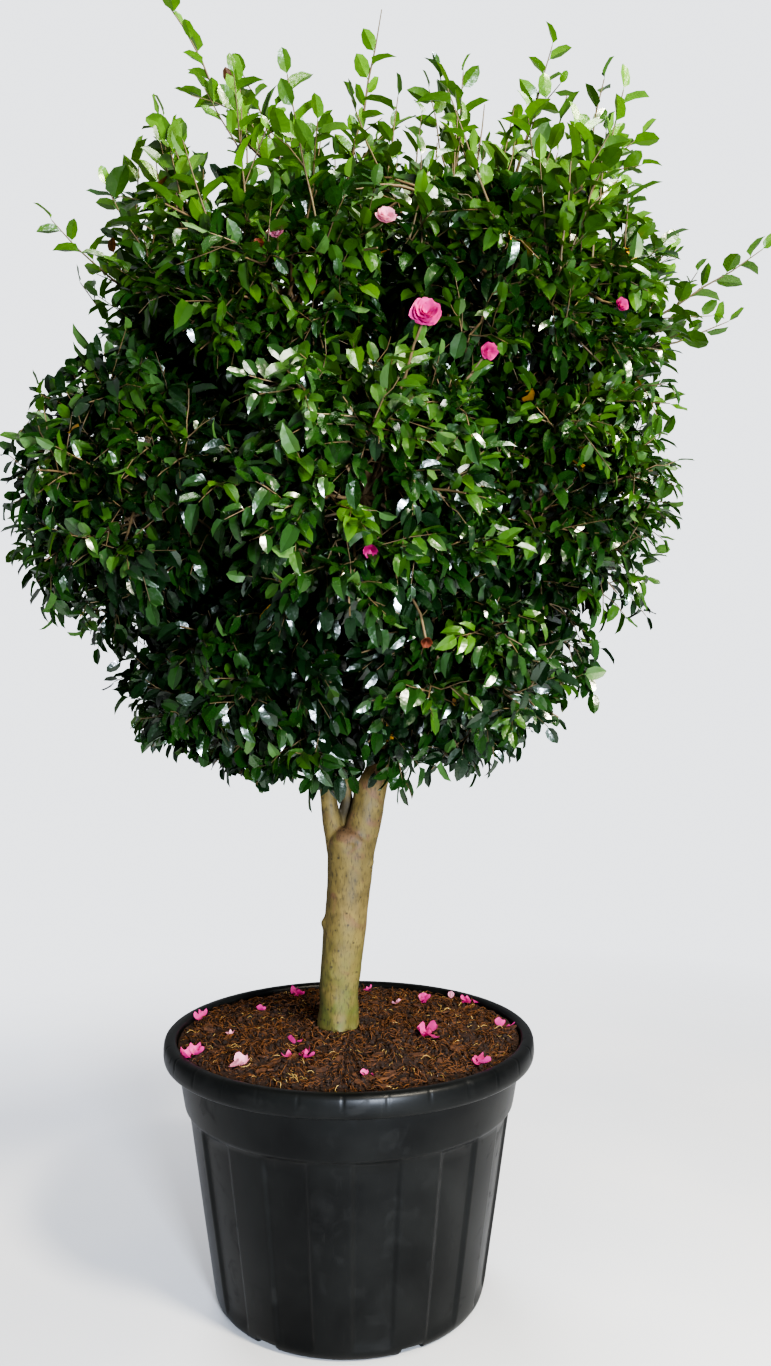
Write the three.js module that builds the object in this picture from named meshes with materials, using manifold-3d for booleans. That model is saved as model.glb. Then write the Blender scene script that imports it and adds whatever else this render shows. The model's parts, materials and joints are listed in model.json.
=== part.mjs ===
// A camellia grown as a small standard tree, standing in its black nursery pot.
// Millimetres, +Z up, +Y towards the back. The origin is the centre of the pot's underside.

import * as THREE from 'three';
import { mergeVertices } from 'three/addons/utils/BufferGeometryUtils.js';
import Module from 'manifold-3d';

const wasm = await Module();
wasm.setup();

const UP = new THREE.Vector3(0, 0, 1);
const GOLDEN_ANGLE = Math.PI * (3 - Math.sqrt(5));
const SEAT_GAP = 0.35; // between two pieces that touch
const WELD = 1e-4; // corners closer than this are one

// Pot: each row is radius, height and how far the flutes' panels are sunk at that height.
const FLUTES = 12;
const FLUTE_DEPTH = 5;
const FLUTE_RIB = [19, 25.5, 32]; // degrees from the start of a flute
const FLUTE_PANEL = [34, 40.5, 47];
const POT_OUTSIDE = [
  [241, 0, 0],
  [249, 10, 0],
  [253, 30, 1],
  [298, 352, 1],
  [304, 358, 0],
  [317, 436, 0],
  [340, 438, 0],
  [343, 448, 0],
  [340, 473, 0],
  [323, 477, 0],
];
const POT_INSIDE = [
  [317, 470, 0],
  [311, 436, 0],
  [290, 350, 0],
  [244, 34, 0],
  [232, 14, 0],
];
const DRAIN_NOTCH = { count: 6, first: 57, width: 44, height: 10, depth: 26 };

// Potting soil, domed, with a level disc in the middle for the trunk.
const SOIL_EDGE_HEIGHT = 466;
const SOIL_HEIGHT = 482;
const SOIL_DISC = 95;

// Trunk: x, height and radius of its sections, from the root flare to the fork.
const TRUNK_SIDES = 12;
const TRUNK_SECTIONS = [
  [-21, 470, 40],
  [-21, 486, 37.5],
  [-20, 510, 36],
  [-20, 546, 36.4],
  [-16, 597, 38.2],
  [-11, 647, 39.6],
  [-4, 717, 40],
  [1, 784, 43],
  [2, 830, 43],
  [0, 856, 26],
];
const FLARE = { lobes: 4, depth: 0.08, top: 540 };

// The two limbs of the fork: x, y, height and radius. They are cut level above the fork.
const FORK_CUT = 918;
const LIMB_SIDES = 8;
const LIMB_STEPS = 2; // rings from one section to the next
const LEADERS = {
  left: [
    [-17, 0, 799, 24],
    [-35, 0, 877, 16.6],
    [-41, 0, 918, 15],
    [-56, 10, 1004, 13.5],
    [-92, 34, 1154, 12],
    [-120, 60, 1324, 10],
    [-128, 70, 1474, 8],
  ],
  right: [
    [8, 0, 799, 35],
    [31, 0, 882, 31],
    [38, 0, 918, 30],
    [56, -4, 966, 23],
    [78, -14, 1024, 17],
    [92, -22, 1144, 15],
    [78, -12, 1324, 13],
    [60, 0, 1504, 11],
    [64, 5, 1664, 8.5],
  ],
};

// Boughs: stagger shifts where neighbours start, entry is how far outside a mass's centre the
// bough ends, as a share of its reach, and longest the same as a share of the bough's own run.
const BOUGH = {
  sides: 6, stagger: [36, -36, 0], bow: 0.09, waist: 0.8, tip: 0.62,
  entry: 0.74, longest: 0.5, lowest: 984, belowLeaderTop: 20,
};

// Crown: rings of foliage masses, from the skirt over the fork to the top. Rise is how far a
// bough starts below its mass, as a share of the mass's distance from the middle.
const CROWN = [
  {
    tier: 'skirt', count: 5, x: 5, z: 1176, ring: 236, reach: 222, turn: -126,
    hang: -0.5, twigs: 2, bough: 9, rise: 0.4,
  },
  {
    tier: 'belly', count: 6, x: -22, z: 1432, ring: 392, reach: 252, turn: -82,
    hang: -0.25, twigs: 3, bough: 9.5, rise: 0.36,
  },
  {
    tier: 'shoulder', count: 5, x: 75, z: 1772, ring: 335, reach: 248, turn: -124,
    hang: 0.2, twigs: 3, bough: 8, rise: 0.7,
  },
  {
    tier: 'top', count: 3, x: 125, z: 1990, ring: 185, reach: 190, turn: -88,
    hang: 0.45, twigs: 2, bough: 7, rise: 1.1,
  },
];
const WAVE = { rise: 22, reach: 0.03 }; // by which a mass stands above or below its neighbours
const HEART = new THREE.Vector3(20, 0, 1404);
const CELL_MARGIN = 2; // half the space left free between two masses
const LOWEST_LEAF = 896;
const SEED = 4131;
const SEED_STEP = 97; // from one mass to the next

// The dense heart of a mass. Its radii are shares of the mass's reach.
const CORE = {
  share: 0.63, lump: 0.18, least: 0.3, shrink: 0.92,
  tuftLow: 0.7, tuftHigh: 1, lean: 0.3, tuftedFrom: -0.3,
};
const STEM = { straight: 24, tip: 0.6 };
const STRETCHES = 6; // straight stretches that stand for a limb from one section to the next
const LIMB_CLEARANCE = 10;
const CORE_GAP = 3;

// Long shoots that stand out of the crown, by the place of their tips.
const SHOOT_TIPS = [
  [-333, -60, 2364],
  [-205, 40, 2286],
  [60, -40, 2362],
  [168, 60, 2312],
  [372, -50, 2290],
  [560, 60, 2180],
  [762, -30, 1924],
  [730, 70, 1824],
  [-540, -60, 1966],
  [-60, 330, 2224],
  [240, 420, 2154],
  [-330, 360, 2014],
];
const SHOOT = { leafStep: 74, bare: 0.5, lastLeaf: 0.98, hang: 0.55, size: 0.56, lift: -0.05 };

// Open blooms at the ends of short twigs: place and radius.
const BLOOMS = [
  [122, -575, 1624, 24],
  [-196, -520, 1634, 20],
  [330, 470, 1584, 24],
  [-470, 330, 1524, 22],
];
const BLOOM_SIDES = 9;
const BLOOM_PROFILE = [
  [0, -0.5], [0.55, -0.36], [1, 0.1], [0.8, 0.5], [0.5, 0.34], [0.26, 0.56], [0, 0.5],
];

// Twigs: radii at root and tip, the cone that they fill, the bare share and their reach.
const TWIG = {
  sides: 3, root: 4.2, tip: 2.4, cone: 1.1, bare: 0.66, lastLeaf: 0.99,
  shortest: 0.66, longest: 0.8, lift: 0.05, spinePoints: 16,
};

// A leaf stands for a small spray. Its widest and its keel points are shares of its length.
const LEAF = {
  perTwig: 4, length: 132, width: 66, thick: 3.6, fold: 9, curl: 12, widest: 0.48, keel: 0.46,
  smallest: 0.86, largest: 1.1, sunkAlong: 2.8, sunkBack: 4.2,
  spread: 1.15, lastSpread: 0.1, faceOut: 0.7, faceAcross: 0.25,
};
const LEAF_FACES = [
  [0, 1, 4], [1, 2, 4], [2, 3, 4], [3, 0, 4],
  [1, 0, 5], [2, 1, 5], [3, 2, 5], [0, 3, 5],
];
const THIRDS = [1 / 3, 2 / 3];
const SMALLEST_DETAIL = 0.05;

const COLOURS = {
  pot: { color: '#242526', roughness: 0.55, metalness: 0 },
  soil: { color: '#4a2c18', roughness: 0.95, metalness: 0 },
  bark: { color: '#8b8160', roughness: 0.8, metalness: 0 },
  leaf: { color: '#35641f', roughness: 0.4, metalness: 0 },
};

const plant = new THREE.Group();

function vector(point) {
  return new THREE.Vector3(point[0], point[1], point[2]);
}

function degrees(angle) {
  return THREE.MathUtils.degToRad(angle);
}

// Repeatable random numbers from 0 to 1.
function seeded(seed) {
  let state = seed >>> 0;
  return () => {
    state = (state + 0x6d2b79f5) >>> 0;
    let mixed = Math.imul(state ^ (state >>> 15), state | 1);
    mixed ^= mixed + Math.imul(mixed ^ (mixed >>> 7), mixed | 61);
    return ((mixed ^ (mixed >>> 14)) >>> 0) / 2 ** 32;
  };
}

// Manifold solid of a closed geometry.
function solidOf(geometry) {
  const closed = geometry.clone();
  closed.deleteAttribute('normal');
  closed.deleteAttribute('uv');
  const merged = mergeVertices(closed, WELD);
  return new wasm.Manifold(new wasm.Mesh({
    numProp: 3,
    vertProperties: new Float32Array(merged.attributes.position.array),
    triVerts: new Uint32Array(merged.index.array),
  }));
}

// The largest shell of a solid, without loose scraps and sealed hollows.
function largestShell(solid) {
  return solid.decompose().reduce((best, shell) => (shell.volume() > best.volume() ? shell : best));
}

function geometryOf(solid) {
  const mesh = solid.getMesh();
  const geometry = new THREE.BufferGeometry();
  geometry.setAttribute('position', new THREE.BufferAttribute(mesh.vertProperties, mesh.numProp));
  geometry.setIndex(new THREE.BufferAttribute(mesh.triVerts, 1));
  geometry.computeVertexNormals();
  return geometry;
}

function addPiece(name, solid, finish) {
  const mesh = new THREE.Mesh(geometryOf(solid), new THREE.MeshStandardMaterial(finish));
  mesh.name = name;
  plant.add(mesh);
}

function closedGeometry(points, faces) {
  const geometry = new THREE.BufferGeometry();
  geometry.setFromPoints(points);
  geometry.setIndex(faces);
  return geometry;
}

// Closed skin over rings that all have as many points and turn the same way round.
function skin(rings) {
  const sides = rings[0].length;
  const points = rings.flat();
  const faces = [];
  for (let ring = 0; ring + 1 < rings.length; ring += 1) {
    for (let side = 0; side < sides; side += 1) {
      const a = ring * sides + side;
      const b = ring * sides + (side + 1) % sides;
      faces.push(a, b, b + sides, a, b + sides, a + sides);
    }
  }
  [rings[0], rings.at(-1)].forEach((ring, end) => {
    const middle = points.length;
    const first = end * (rings.length - 1) * sides;
    points.push(ring.reduce((sum, p) => sum.add(p), new THREE.Vector3()).divideScalar(sides));
    for (let side = 0; side < sides; side += 1) {
      const a = first + side;
      const b = first + (side + 1) % sides;
      faces.push(middle, end ? a : b, end ? b : a);
    }
  });
  return solidOf(closedGeometry(points, faces));
}

// Tapering limb along a smooth curve; extra widens it evenly for a cut that leaves room.
function limb(points, radii, sides, stepsPerSpan, extra = 0) {
  const curve = new THREE.CatmullRomCurve3(points);
  const steps = (points.length - 1) * stepsPerSpan;
  const frames = curve.computeFrenetFrames(steps, false);
  const rings = [];
  for (let step = 0; step <= steps; step += 1) {
    const along = step / steps;
    const span = Math.min(Math.floor(step / stepsPerSpan), points.length - 2);
    const within = step / stepsPerSpan - span;
    const radius = extra + THREE.MathUtils.lerp(radii[span], radii[span + 1], within);
    const middle = curve.getPoint(along);
    rings.push(Array.from({ length: sides }, (_, side) => {
      const turn = (2 * Math.PI * side) / sides;
      return middle.clone()
        .addScaledVector(frames.normals[step], radius * Math.cos(turn))
        .addScaledVector(frames.binormals[step], radius * Math.sin(turn));
    }));
  }
  return skin(rings);
}

// ---- Pot and soil ----

function potRing([radius, height, sunk]) {
  const ring = [];
  for (let flute = 0; flute < FLUTES; flute += 1) {
    const start = (360 / FLUTES) * flute;
    const corners = [
      ...FLUTE_RIB.map((angle) => [angle, 0]),
      ...FLUTE_PANEL.map((angle) => [angle, FLUTE_DEPTH * sunk]),
    ];
    corners.forEach(([angle, depth]) => {
      const turn = degrees(start + angle);
      const reach = radius - depth;
      ring.push(new THREE.Vector3(reach * Math.cos(turn), reach * Math.sin(turn), height));
    });
  }
  return ring;
}

function makePot() {
  let pot = skin([...POT_OUTSIDE, ...POT_INSIDE].map(potRing));
  const foot = POT_OUTSIDE[0][0];
  for (let notch = 0; notch < DRAIN_NOTCH.count; notch += 1) {
    const box = new THREE.BoxGeometry(2 * DRAIN_NOTCH.depth, DRAIN_NOTCH.width, 2 * DRAIN_NOTCH.height);
    box.translate(foot, 0, 0);
    box.rotateZ(degrees(DRAIN_NOTCH.first + (360 / DRAIN_NOTCH.count) * notch));
    pot = pot.subtract(solidOf(box));
  }
  addPiece('pot', pot, COLOURS.pot);
}

// Inner radius of the pot at the soil's edge, worked out along its sloping wall.
function innerRadiusAt(height) {
  const [upper, lower] = POT_INSIDE;
  const share = (height - lower[1]) / (upper[1] - lower[1]);
  return THREE.MathUtils.lerp(lower[0], upper[0], share);
}

function makeSoil() {
  const gap = 2 * SEAT_GAP;
  const wall = POT_INSIDE.slice(2).reverse().map(([radius, height]) => [radius - gap, height, 0]);
  wall[0][1] += gap;
  const profile = [
    ...wall,
    [innerRadiusAt(SOIL_EDGE_HEIGHT) - gap, SOIL_EDGE_HEIGHT, 0],
    [SOIL_DISC, SOIL_HEIGHT, 0],
  ];
  addPiece('soil', skin(profile.map(potRing)), COLOURS.soil);
}

// ---- Trunk, leaders and boughs ----

function leaderSolid(name, extra = 0) {
  const sections = LEADERS[name];
  return limb(sections.map(vector), sections.map((section) => section[3]), LIMB_SIDES, LIMB_STEPS, extra);
}

// Trunk rings are level, and lobed where the roots run into it.
function trunkRing([x, height, radius]) {
  const flare = Math.max(0, (FLARE.top - height) / (FLARE.top - SOIL_HEIGHT));
  return Array.from({ length: TRUNK_SIDES }, (_, side) => {
    const turn = (2 * Math.PI * side) / TRUNK_SIDES;
    const reach = radius * (1 + FLARE.depth * flare * Math.cos(FLARE.lobes * turn));
    return new THREE.Vector3(x + reach * Math.cos(turn), reach * Math.sin(turn), height);
  });
}

function makeTrunk() {
  let trunk = skin(TRUNK_SECTIONS.map(trunkRing));
  Object.keys(LEADERS).forEach((name) => {
    trunk = trunk.add(leaderSolid(name).trimByPlane([0, 0, -1], -FORK_CUT));
  });
  trunk = trunk.trimByPlane([0, 0, 1], SOIL_HEIGHT + SEAT_GAP);
  addPiece('trunk', trunk, COLOURS.bark);
}

function makeLeaders() {
  Object.keys(LEADERS).forEach((name) => {
    const upper = leaderSolid(name).trimByPlane([0, 0, 1], FORK_CUT + SEAT_GAP);
    addPiece(`leader_${name}`, upper, COLOURS.bark);
  });
}

// Every mass of the crown with its centre, its way out and its hub.
function layOutMasses() {
  return CROWN.flatMap((tier) => Array.from({ length: tier.count }, (_, index) => {
    const turn = degrees(tier.turn + (360 / tier.count) * index);
    const wave = index % 2 ? 1 : -1;
    const centre = new THREE.Vector3(
      tier.x + tier.ring * Math.cos(turn),
      tier.ring * Math.sin(turn),
      tier.z + WAVE.rise * wave,
    );
    return {
      name: `${tier.tier}_${index + 1}`,
      tier,
      index,
      centre,
      reach: tier.reach * (1 + WAVE.reach * wave),
      outward: centre.clone().sub(HEART).normalize(),
    };
  }));
}

// Point on a leader's axis at a height.
function leaderPoint(name, height) {
  const sections = LEADERS[name];
  const last = sections.length - 1;
  const upper = Math.min(last, Math.max(1, sections.findIndex((section) => section[2] > height)));
  const low = sections[upper - 1];
  const high = sections[upper];
  const share = THREE.MathUtils.clamp((height - low[2]) / (high[2] - low[2]), 0, 1);
  return vector(low).lerp(vector(high), share);
}

// Each bough leaves the nearer leader below its mass and sweeps up into it.
function layOutBough(mass) {
  const { centre, tier, index, reach } = mass;
  const flat = Math.hypot(centre.x, centre.y);
  const height = tier.z - tier.rise * flat + BOUGH.stagger[index % BOUGH.stagger.length];
  const starts = Object.keys(LEADERS).map((name) => {
    const sections = LEADERS[name];
    const top = sections.at(-1)[2] - BOUGH.belowLeaderTop;
    return { leader: name, point: leaderPoint(name, THREE.MathUtils.clamp(height, BOUGH.lowest, top)) };
  });
  starts.sort((a, b) => a.point.distanceTo(centre) - b.point.distanceTo(centre));
  const { leader, point: start } = starts[0];
  const inward = start.clone().sub(centre);
  const entry = Math.min(BOUGH.entry * reach, BOUGH.longest * inward.length());
  const tip = centre.clone().addScaledVector(inward.normalize(), entry);
  const length = start.distanceTo(tip);
  const middle = start.clone().lerp(tip, 0.5).addScaledVector(UP, -BOUGH.bow * length);
  return {
    leader,
    points: [start, middle, tip],
    radii: [tier.bough, tier.bough * BOUGH.waist, tier.bough * BOUGH.tip],
  };
}

function makeBoughs(masses) {
  masses.forEach((mass) => {
    const { points, radii, leader } = mass.bough;
    const whole = limb(points, radii, BOUGH.sides, LIMB_STEPS);
    const seated = largestShell(whole.subtract(leaderSolid(leader, SEAT_GAP)));
    addPiece(`bough_${mass.name}`, seated, COLOURS.bark);
  });
}

// ---- Foliage ----

// Straight stretches of every limb, for keeping foliage clear of them.
function limbStretches(masses) {
  const stretches = [];
  const addLimb = (points, radii) => {
    const curve = new THREE.CatmullRomCurve3(points);
    const steps = STRETCHES * (points.length - 1);
    for (let step = 0; step < steps; step += 1) {
      const line = new THREE.Line3(curve.getPoint(step / steps), curve.getPoint((step + 1) / steps));
      const radius = radii[Math.floor(step / STRETCHES)];
      stretches.push({ line, radius });
    }
  };
  Object.values(LEADERS).forEach((sections) => {
    addLimb(sections.map(vector), sections.map((section) => section[3]));
  });
  masses.forEach(({ bough }) => addLimb(bough.points, bough.radii));
  return stretches;
}

function clearOfLimbs(points, stretches, room) {
  const nearest = new THREE.Vector3();
  return points.every((point) => stretches.every(({ line, radius }) => {
    line.closestPointToPoint(point, true, nearest);
    return nearest.distanceTo(point) > radius + room;
  }));
}

// How much nearer a point is to its own mass than to any other; positive inside its own space.
function spaceAround(point, own, masses) {
  const power = (mass) => point.distanceToSquared(mass.centre) - mass.reach ** 2;
  let room = Infinity;
  masses.forEach((other) => {
    if (other !== own) {
      const apart = other.centre.distanceTo(own.centre);
      room = Math.min(room, (power(other) - power(own)) / (2 * apart));
    }
  });
  return room;
}

function insideSpace(points, own, masses) {
  return points.every((point) => (
    point.z > LOWEST_LEAF && spaceAround(point, own, masses) > CELL_MARGIN
  ));
}

// A core, cut clear of every limb that would touch it.
function cutClear(core, masses) {
  const limbs = [
    ...Object.keys(LEADERS).map((name) => leaderSolid(name, CORE_GAP)),
    ...masses.map(({ bough: { points, radii } }) => {
      const [before, tip] = points.slice(-2);
      const past = tip.clone().add(tip.clone().sub(before).setLength(CORE_GAP));
      return limb([...points.slice(0, -1), past], radii, BOUGH.sides, LIMB_STEPS, CORE_GAP);
    }),
  ];
  return limbs.reduce((rest, piece) => (
    rest.intersect(piece).isEmpty() ? rest : rest.subtract(piece)
  ), core);
}

// Lumpy core, tufted over all its faces, drawn in where a neighbour's space or a limb is near.
function coreSolid(mass, masses, stretches, random) {
  const ball = new THREE.IcosahedronGeometry(1, 1);
  ball.deleteAttribute('normal');
  ball.deleteAttribute('uv');
  const { attributes, index } = mergeVertices(ball, WELD);
  const rays = Array.from({ length: attributes.position.count }, (_, corner) => (
    new THREE.Vector3().fromBufferAttribute(attributes.position, corner)
  ));
  const reachAlong = (ray, share) => {
    let radius = share * mass.reach;
    let corner = mass.centre.clone().addScaledVector(ray, radius);
    const blocked = () => (
      !insideSpace([corner], mass, masses) || !clearOfLimbs([corner], stretches, CORE_GAP)
    );
    while (radius > CORE.least * mass.reach && blocked()) {
      radius *= CORE.shrink;
      corner = mass.centre.clone().addScaledVector(ray, radius);
    }
    return corner;
  };
  const points = rays.map((ray) => reachAlong(ray, CORE.share * (1 + CORE.lump * (2 * random() - 1))));
  const faces = [];
  for (let first = 0; first < index.count; first += 3) {
    const [a, b, c] = [0, 1, 2].map((corner) => index.getX(first + corner));
    const tuft = rays[a].clone().add(rays[b]).add(rays[c]).normalize()
      .addScaledVector(UP, CORE.lean * mass.tier.hang)
      .normalize();
    if (tuft.dot(mass.outward) > CORE.tuftedFrom) {
      points.push(reachAlong(tuft, THREE.MathUtils.lerp(CORE.tuftLow, CORE.tuftHigh, random())));
      const top = points.length - 1;
      faces.push(a, b, top, b, c, top, c, a, top);
    } else {
      faces.push(a, b, c);
    }
  }
  return cutClear(solidOf(closedGeometry(points, faces)), masses);
}

// Leaf of eight faces, folded along its midrib, with a curled tip.
function leafPoints(root, along, face, size) {
  const side = along.clone().cross(face).normalize();
  const normal = side.clone().cross(along).normalize();
  const at = (share, across, rise) => root.clone()
    .addScaledVector(along, share * LEAF.length * size)
    .addScaledVector(side, across * LEAF.width * size)
    .addScaledVector(normal, rise * size);
  return [
    at(0, 0, 0),
    at(LEAF.widest, 0.5, LEAF.fold / 2),
    at(1, 0, -LEAF.curl),
    at(LEAF.widest, -0.5, LEAF.fold / 2),
    at(LEAF.keel, 0, (LEAF.thick - LEAF.fold) / 2),
    at(LEAF.keel, 0, (-LEAF.thick - LEAF.fold) / 2),
  ];
}

// Points spread over a leaf, close enough together that no limb fits between them.
function leafSamples([base, right, tip, left, upper]) {
  const middles = [base, tip].flatMap((end) => THIRDS.flatMap((share) => (
    [right, left, upper].map((edge) => edge.clone().lerp(end, share))
  )));
  return [right, left, upper, tip, ...middles];
}

// A twig from the hub to its tip, its middle lifted by a share of its length.
function twigCurve(start, tip, lift) {
  const length = start.distanceTo(tip);
  const middle = start.clone().lerp(tip, 0.5).addScaledVector(UP, lift * length);
  return [start, middle, tip];
}

// Where leaves leave a twig, as shares of its length beyond the bare stretch.
function leafSpots(count, { bare, lastLeaf }) {
  return Array.from({ length: count }, (_, leaf) => (
    THREE.MathUtils.lerp(bare, lastLeaf, leaf / (count - 1))
  ));
}

function growLeaves(mass, points, spots, hang, size, random, fits) {
  const curve = new THREE.CatmullRomCurve3(points);
  const leaves = [];
  const startTurn = 2 * Math.PI * random();
  spots.forEach((spot, index) => {
    const last = index === spots.length - 1;
    const tangent = curve.getTangent(spot);
    const across = new THREE.Vector3().crossVectors(tangent, UP).normalize();
    const turn = startTurn + Math.PI * index + (random() - 0.5);
    across.applyAxisAngle(tangent, turn);
    const along = tangent.clone()
      .addScaledVector(across, last ? LEAF.lastSpread : LEAF.spread)
      .addScaledVector(UP, hang)
      .normalize();
    const face = mass.outward.clone().multiplyScalar(LEAF.faceOut).add(UP)
      .addScaledVector(across, LEAF.faceAcross);
    const root = curve.getPoint(spot).addScaledVector(along, -LEAF.sunkAlong)
      .addScaledVector(tangent, -LEAF.sunkBack);
    const own = THREE.MathUtils.lerp(LEAF.smallest, LEAF.largest, random());
    const leaf = leafPoints(root, along, face, size * own);
    if (fits(leaf, leafSamples(leaf))) {
      leaves.push(solidOf(closedGeometry(leaf, LEAF_FACES.flat())));
    }
  });
  return leaves;
}

// Double-flowered bloom: a shallow cup with a raised middle.
function bloomSolid(place, outward, radius) {
  const bloom = new THREE.LatheGeometry(
    BLOOM_PROFILE.map(([r, z]) => new THREE.Vector2(r * radius, z * radius)),
    BLOOM_SIDES,
  );
  bloom.applyQuaternion(new THREE.Quaternion().setFromUnitVectors(new THREE.Vector3(0, 1, 0), outward));
  bloom.translate(place.x, place.y, place.z);
  return solidOf(bloom);
}

function makeMass(mass, masses, stretches) {
  const random = seeded(SEED + SEED_STEP * (masses.indexOf(mass) + 1));
  const { points, radii } = mass.bough;
  const entry = points.at(-1);
  const boughEnd = new THREE.CatmullRomCurve3(points).getTangent(1);
  const stemStart = entry.clone().addScaledVector(boughEnd, SEAT_GAP);
  const stemRadius = radii.at(-1);
  const stem = limb(
    [stemStart, stemStart.clone().addScaledVector(boughEnd, STEM.straight), mass.centre],
    [stemRadius, stemRadius, STEM.tip * stemRadius],
    BOUGH.sides,
    1,
  );
  const parts = [stem, coreSolid(mass, masses, stretches, random)];
  const fits = (corners, samples) => (
    insideSpace(corners, mass, masses) && clearOfLimbs(samples, stretches, LIMB_CLEARANCE)
  );
  const growTwig = (twig, spots, hang, size) => {
    const curve = new THREE.CatmullRomCurve3(twig);
    const spine = curve.getPoints(TWIG.spinePoints);
    if (fits(spine, spine)) {
      parts.push(limb(twig, [TWIG.root, (TWIG.root + TWIG.tip) / 2, TWIG.tip], TWIG.sides, 1));
      parts.push(...growLeaves(mass, twig, spots, hang, size, random, fits));
    }
  };
  const toOutward = new THREE.Quaternion().setFromUnitVectors(UP, mass.outward);
  const firstTurn = 2 * Math.PI * random();
  for (let index = 0; index < mass.tier.twigs; index += 1) {
    const height = 1 - (TWIG.cone * (index + 0.5)) / mass.tier.twigs;
    const around = firstTurn + GOLDEN_ANGLE * index;
    const spread = Math.sqrt(1 - height ** 2);
    const ray = new THREE.Vector3(spread * Math.cos(around), spread * Math.sin(around), height);
    ray.applyQuaternion(toOutward);
    const share = THREE.MathUtils.lerp(TWIG.shortest, TWIG.longest, random());
    const tip = mass.centre.clone().addScaledVector(ray, mass.reach * share);
    const spots = leafSpots(LEAF.perTwig, TWIG);
    growTwig(twigCurve(mass.centre, tip, TWIG.lift), spots, mass.tier.hang, 1);
  }
  const owns = (place) => spaceAround(place, mass, masses) > 0;
  SHOOT_TIPS.map(vector).filter(owns).forEach((tip) => {
    const length = mass.centre.distanceTo(tip);
    const count = 1 + Math.round((length * (1 - SHOOT.bare)) / SHOOT.leafStep);
    growTwig(twigCurve(mass.centre, tip, SHOOT.lift), leafSpots(count, SHOOT), SHOOT.hang, SHOOT.size);
  });
  BLOOMS.filter(([x, y, z]) => owns(vector([x, y, z]))).forEach(([x, y, z, radius]) => {
    const place = vector([x, y, z]);
    growTwig(twigCurve(mass.centre, place, 0), [], 0, 1);
    parts.push(bloomSolid(place, place.clone().sub(mass.centre).normalize(), radius));
  });
  const fused = wasm.Manifold.union(parts).simplify(SMALLEST_DETAIL);
  addPiece(`foliage_${mass.name}`, largestShell(fused), COLOURS.leaf);
}

makePot();
makeSoil();
makeTrunk();
makeLeaders();
const masses = layOutMasses();
masses.forEach((mass) => {
  mass.bough = layOutBough(mass);
});
makeBoughs(masses);
const stretches = limbStretches(masses);
masses.forEach((mass) => makeMass(mass, masses, stretches));

export default plant;
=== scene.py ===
"""Camellia grown as a small standard tree in its nursery pot: finishes and fine growth.

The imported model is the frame. Round it this script builds the moulded pot, the loose potting mix
with its fallen petals, the bark of trunk, leaders and boughs, and on every bough the twigs and
leaves that grow on from it by the rule the solids follow, carried to finer twigs. Lengths are metres.
"""

import json
import logging
import math
from collections.abc import Iterable, Sequence
from dataclasses import dataclass, field
from enum import Enum
from random import Random

import bmesh
import bpy
import numpy as np
from mathutils import Matrix, Quaternion, Vector, noise

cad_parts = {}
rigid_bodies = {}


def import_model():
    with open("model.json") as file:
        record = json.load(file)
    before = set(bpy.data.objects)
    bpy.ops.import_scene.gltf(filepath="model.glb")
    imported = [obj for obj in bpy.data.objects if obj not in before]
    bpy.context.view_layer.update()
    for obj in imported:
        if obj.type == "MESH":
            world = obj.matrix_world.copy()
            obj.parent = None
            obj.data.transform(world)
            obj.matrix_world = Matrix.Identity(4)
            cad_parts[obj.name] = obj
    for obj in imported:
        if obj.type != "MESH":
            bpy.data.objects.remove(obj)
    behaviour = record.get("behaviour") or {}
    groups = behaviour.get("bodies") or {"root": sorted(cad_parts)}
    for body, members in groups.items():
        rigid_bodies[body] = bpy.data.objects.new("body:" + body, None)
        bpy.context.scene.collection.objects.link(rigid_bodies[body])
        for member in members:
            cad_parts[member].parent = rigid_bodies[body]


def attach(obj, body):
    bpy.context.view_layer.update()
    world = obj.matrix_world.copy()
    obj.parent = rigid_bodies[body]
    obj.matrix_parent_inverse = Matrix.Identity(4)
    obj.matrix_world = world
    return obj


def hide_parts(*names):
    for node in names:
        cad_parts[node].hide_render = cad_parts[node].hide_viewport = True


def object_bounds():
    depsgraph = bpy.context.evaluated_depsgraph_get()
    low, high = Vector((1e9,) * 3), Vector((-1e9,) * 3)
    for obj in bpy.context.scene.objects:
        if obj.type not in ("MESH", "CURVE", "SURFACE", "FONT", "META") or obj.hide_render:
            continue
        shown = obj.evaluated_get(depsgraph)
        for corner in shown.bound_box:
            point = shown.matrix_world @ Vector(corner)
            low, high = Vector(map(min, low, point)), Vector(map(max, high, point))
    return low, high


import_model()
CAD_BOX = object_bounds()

Tree = bpy.types.NodeTree
Node = bpy.types.Node
Socket = bpy.types.NodeSocket
Obj = bpy.types.Object
Group = bpy.types.Collection
Material = bpy.types.Material
Triple = tuple[float, float, float]
Face = tuple[int, ...]

LOG = logging.getLogger("camellia")
UP = Vector((0.0, 0.0, 1.0))
FULL_TURN = 2.0 * math.pi
GOLDEN_ANGLE = math.pi * (3.0 - math.sqrt(5.0))
MM = 0.001
BODY = "root"
LOWEST_LEAF = 0.896


# ---- Small helpers for colours, nodes and meshes ----


def linear(colour: str) -> tuple[float, float, float, float]:
    """Turns an sRGB hex colour into linear red, green, blue and an alpha of 1.

    Args:
        colour: Six hex digits after a hash, such as "#2a5520".

    Returns:
        The four linear components.
    """
    parts = (int(colour[at : at + 2], 16) / 255.0 for at in (1, 3, 5))
    red, green, blue = (c / 12.92 if c <= 0.04045 else ((c + 0.055) / 1.055) ** 2.4 for c in parts)
    return red, green, blue, 1.0


def per_metre(size_mm: float) -> float:
    """Scale of a pattern on Object coordinates whose features are size_mm across.

    Args:
        size_mm: Real size of one feature.

    Returns:
        Features per metre.
    """
    return 1000.0 / size_mm


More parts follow.
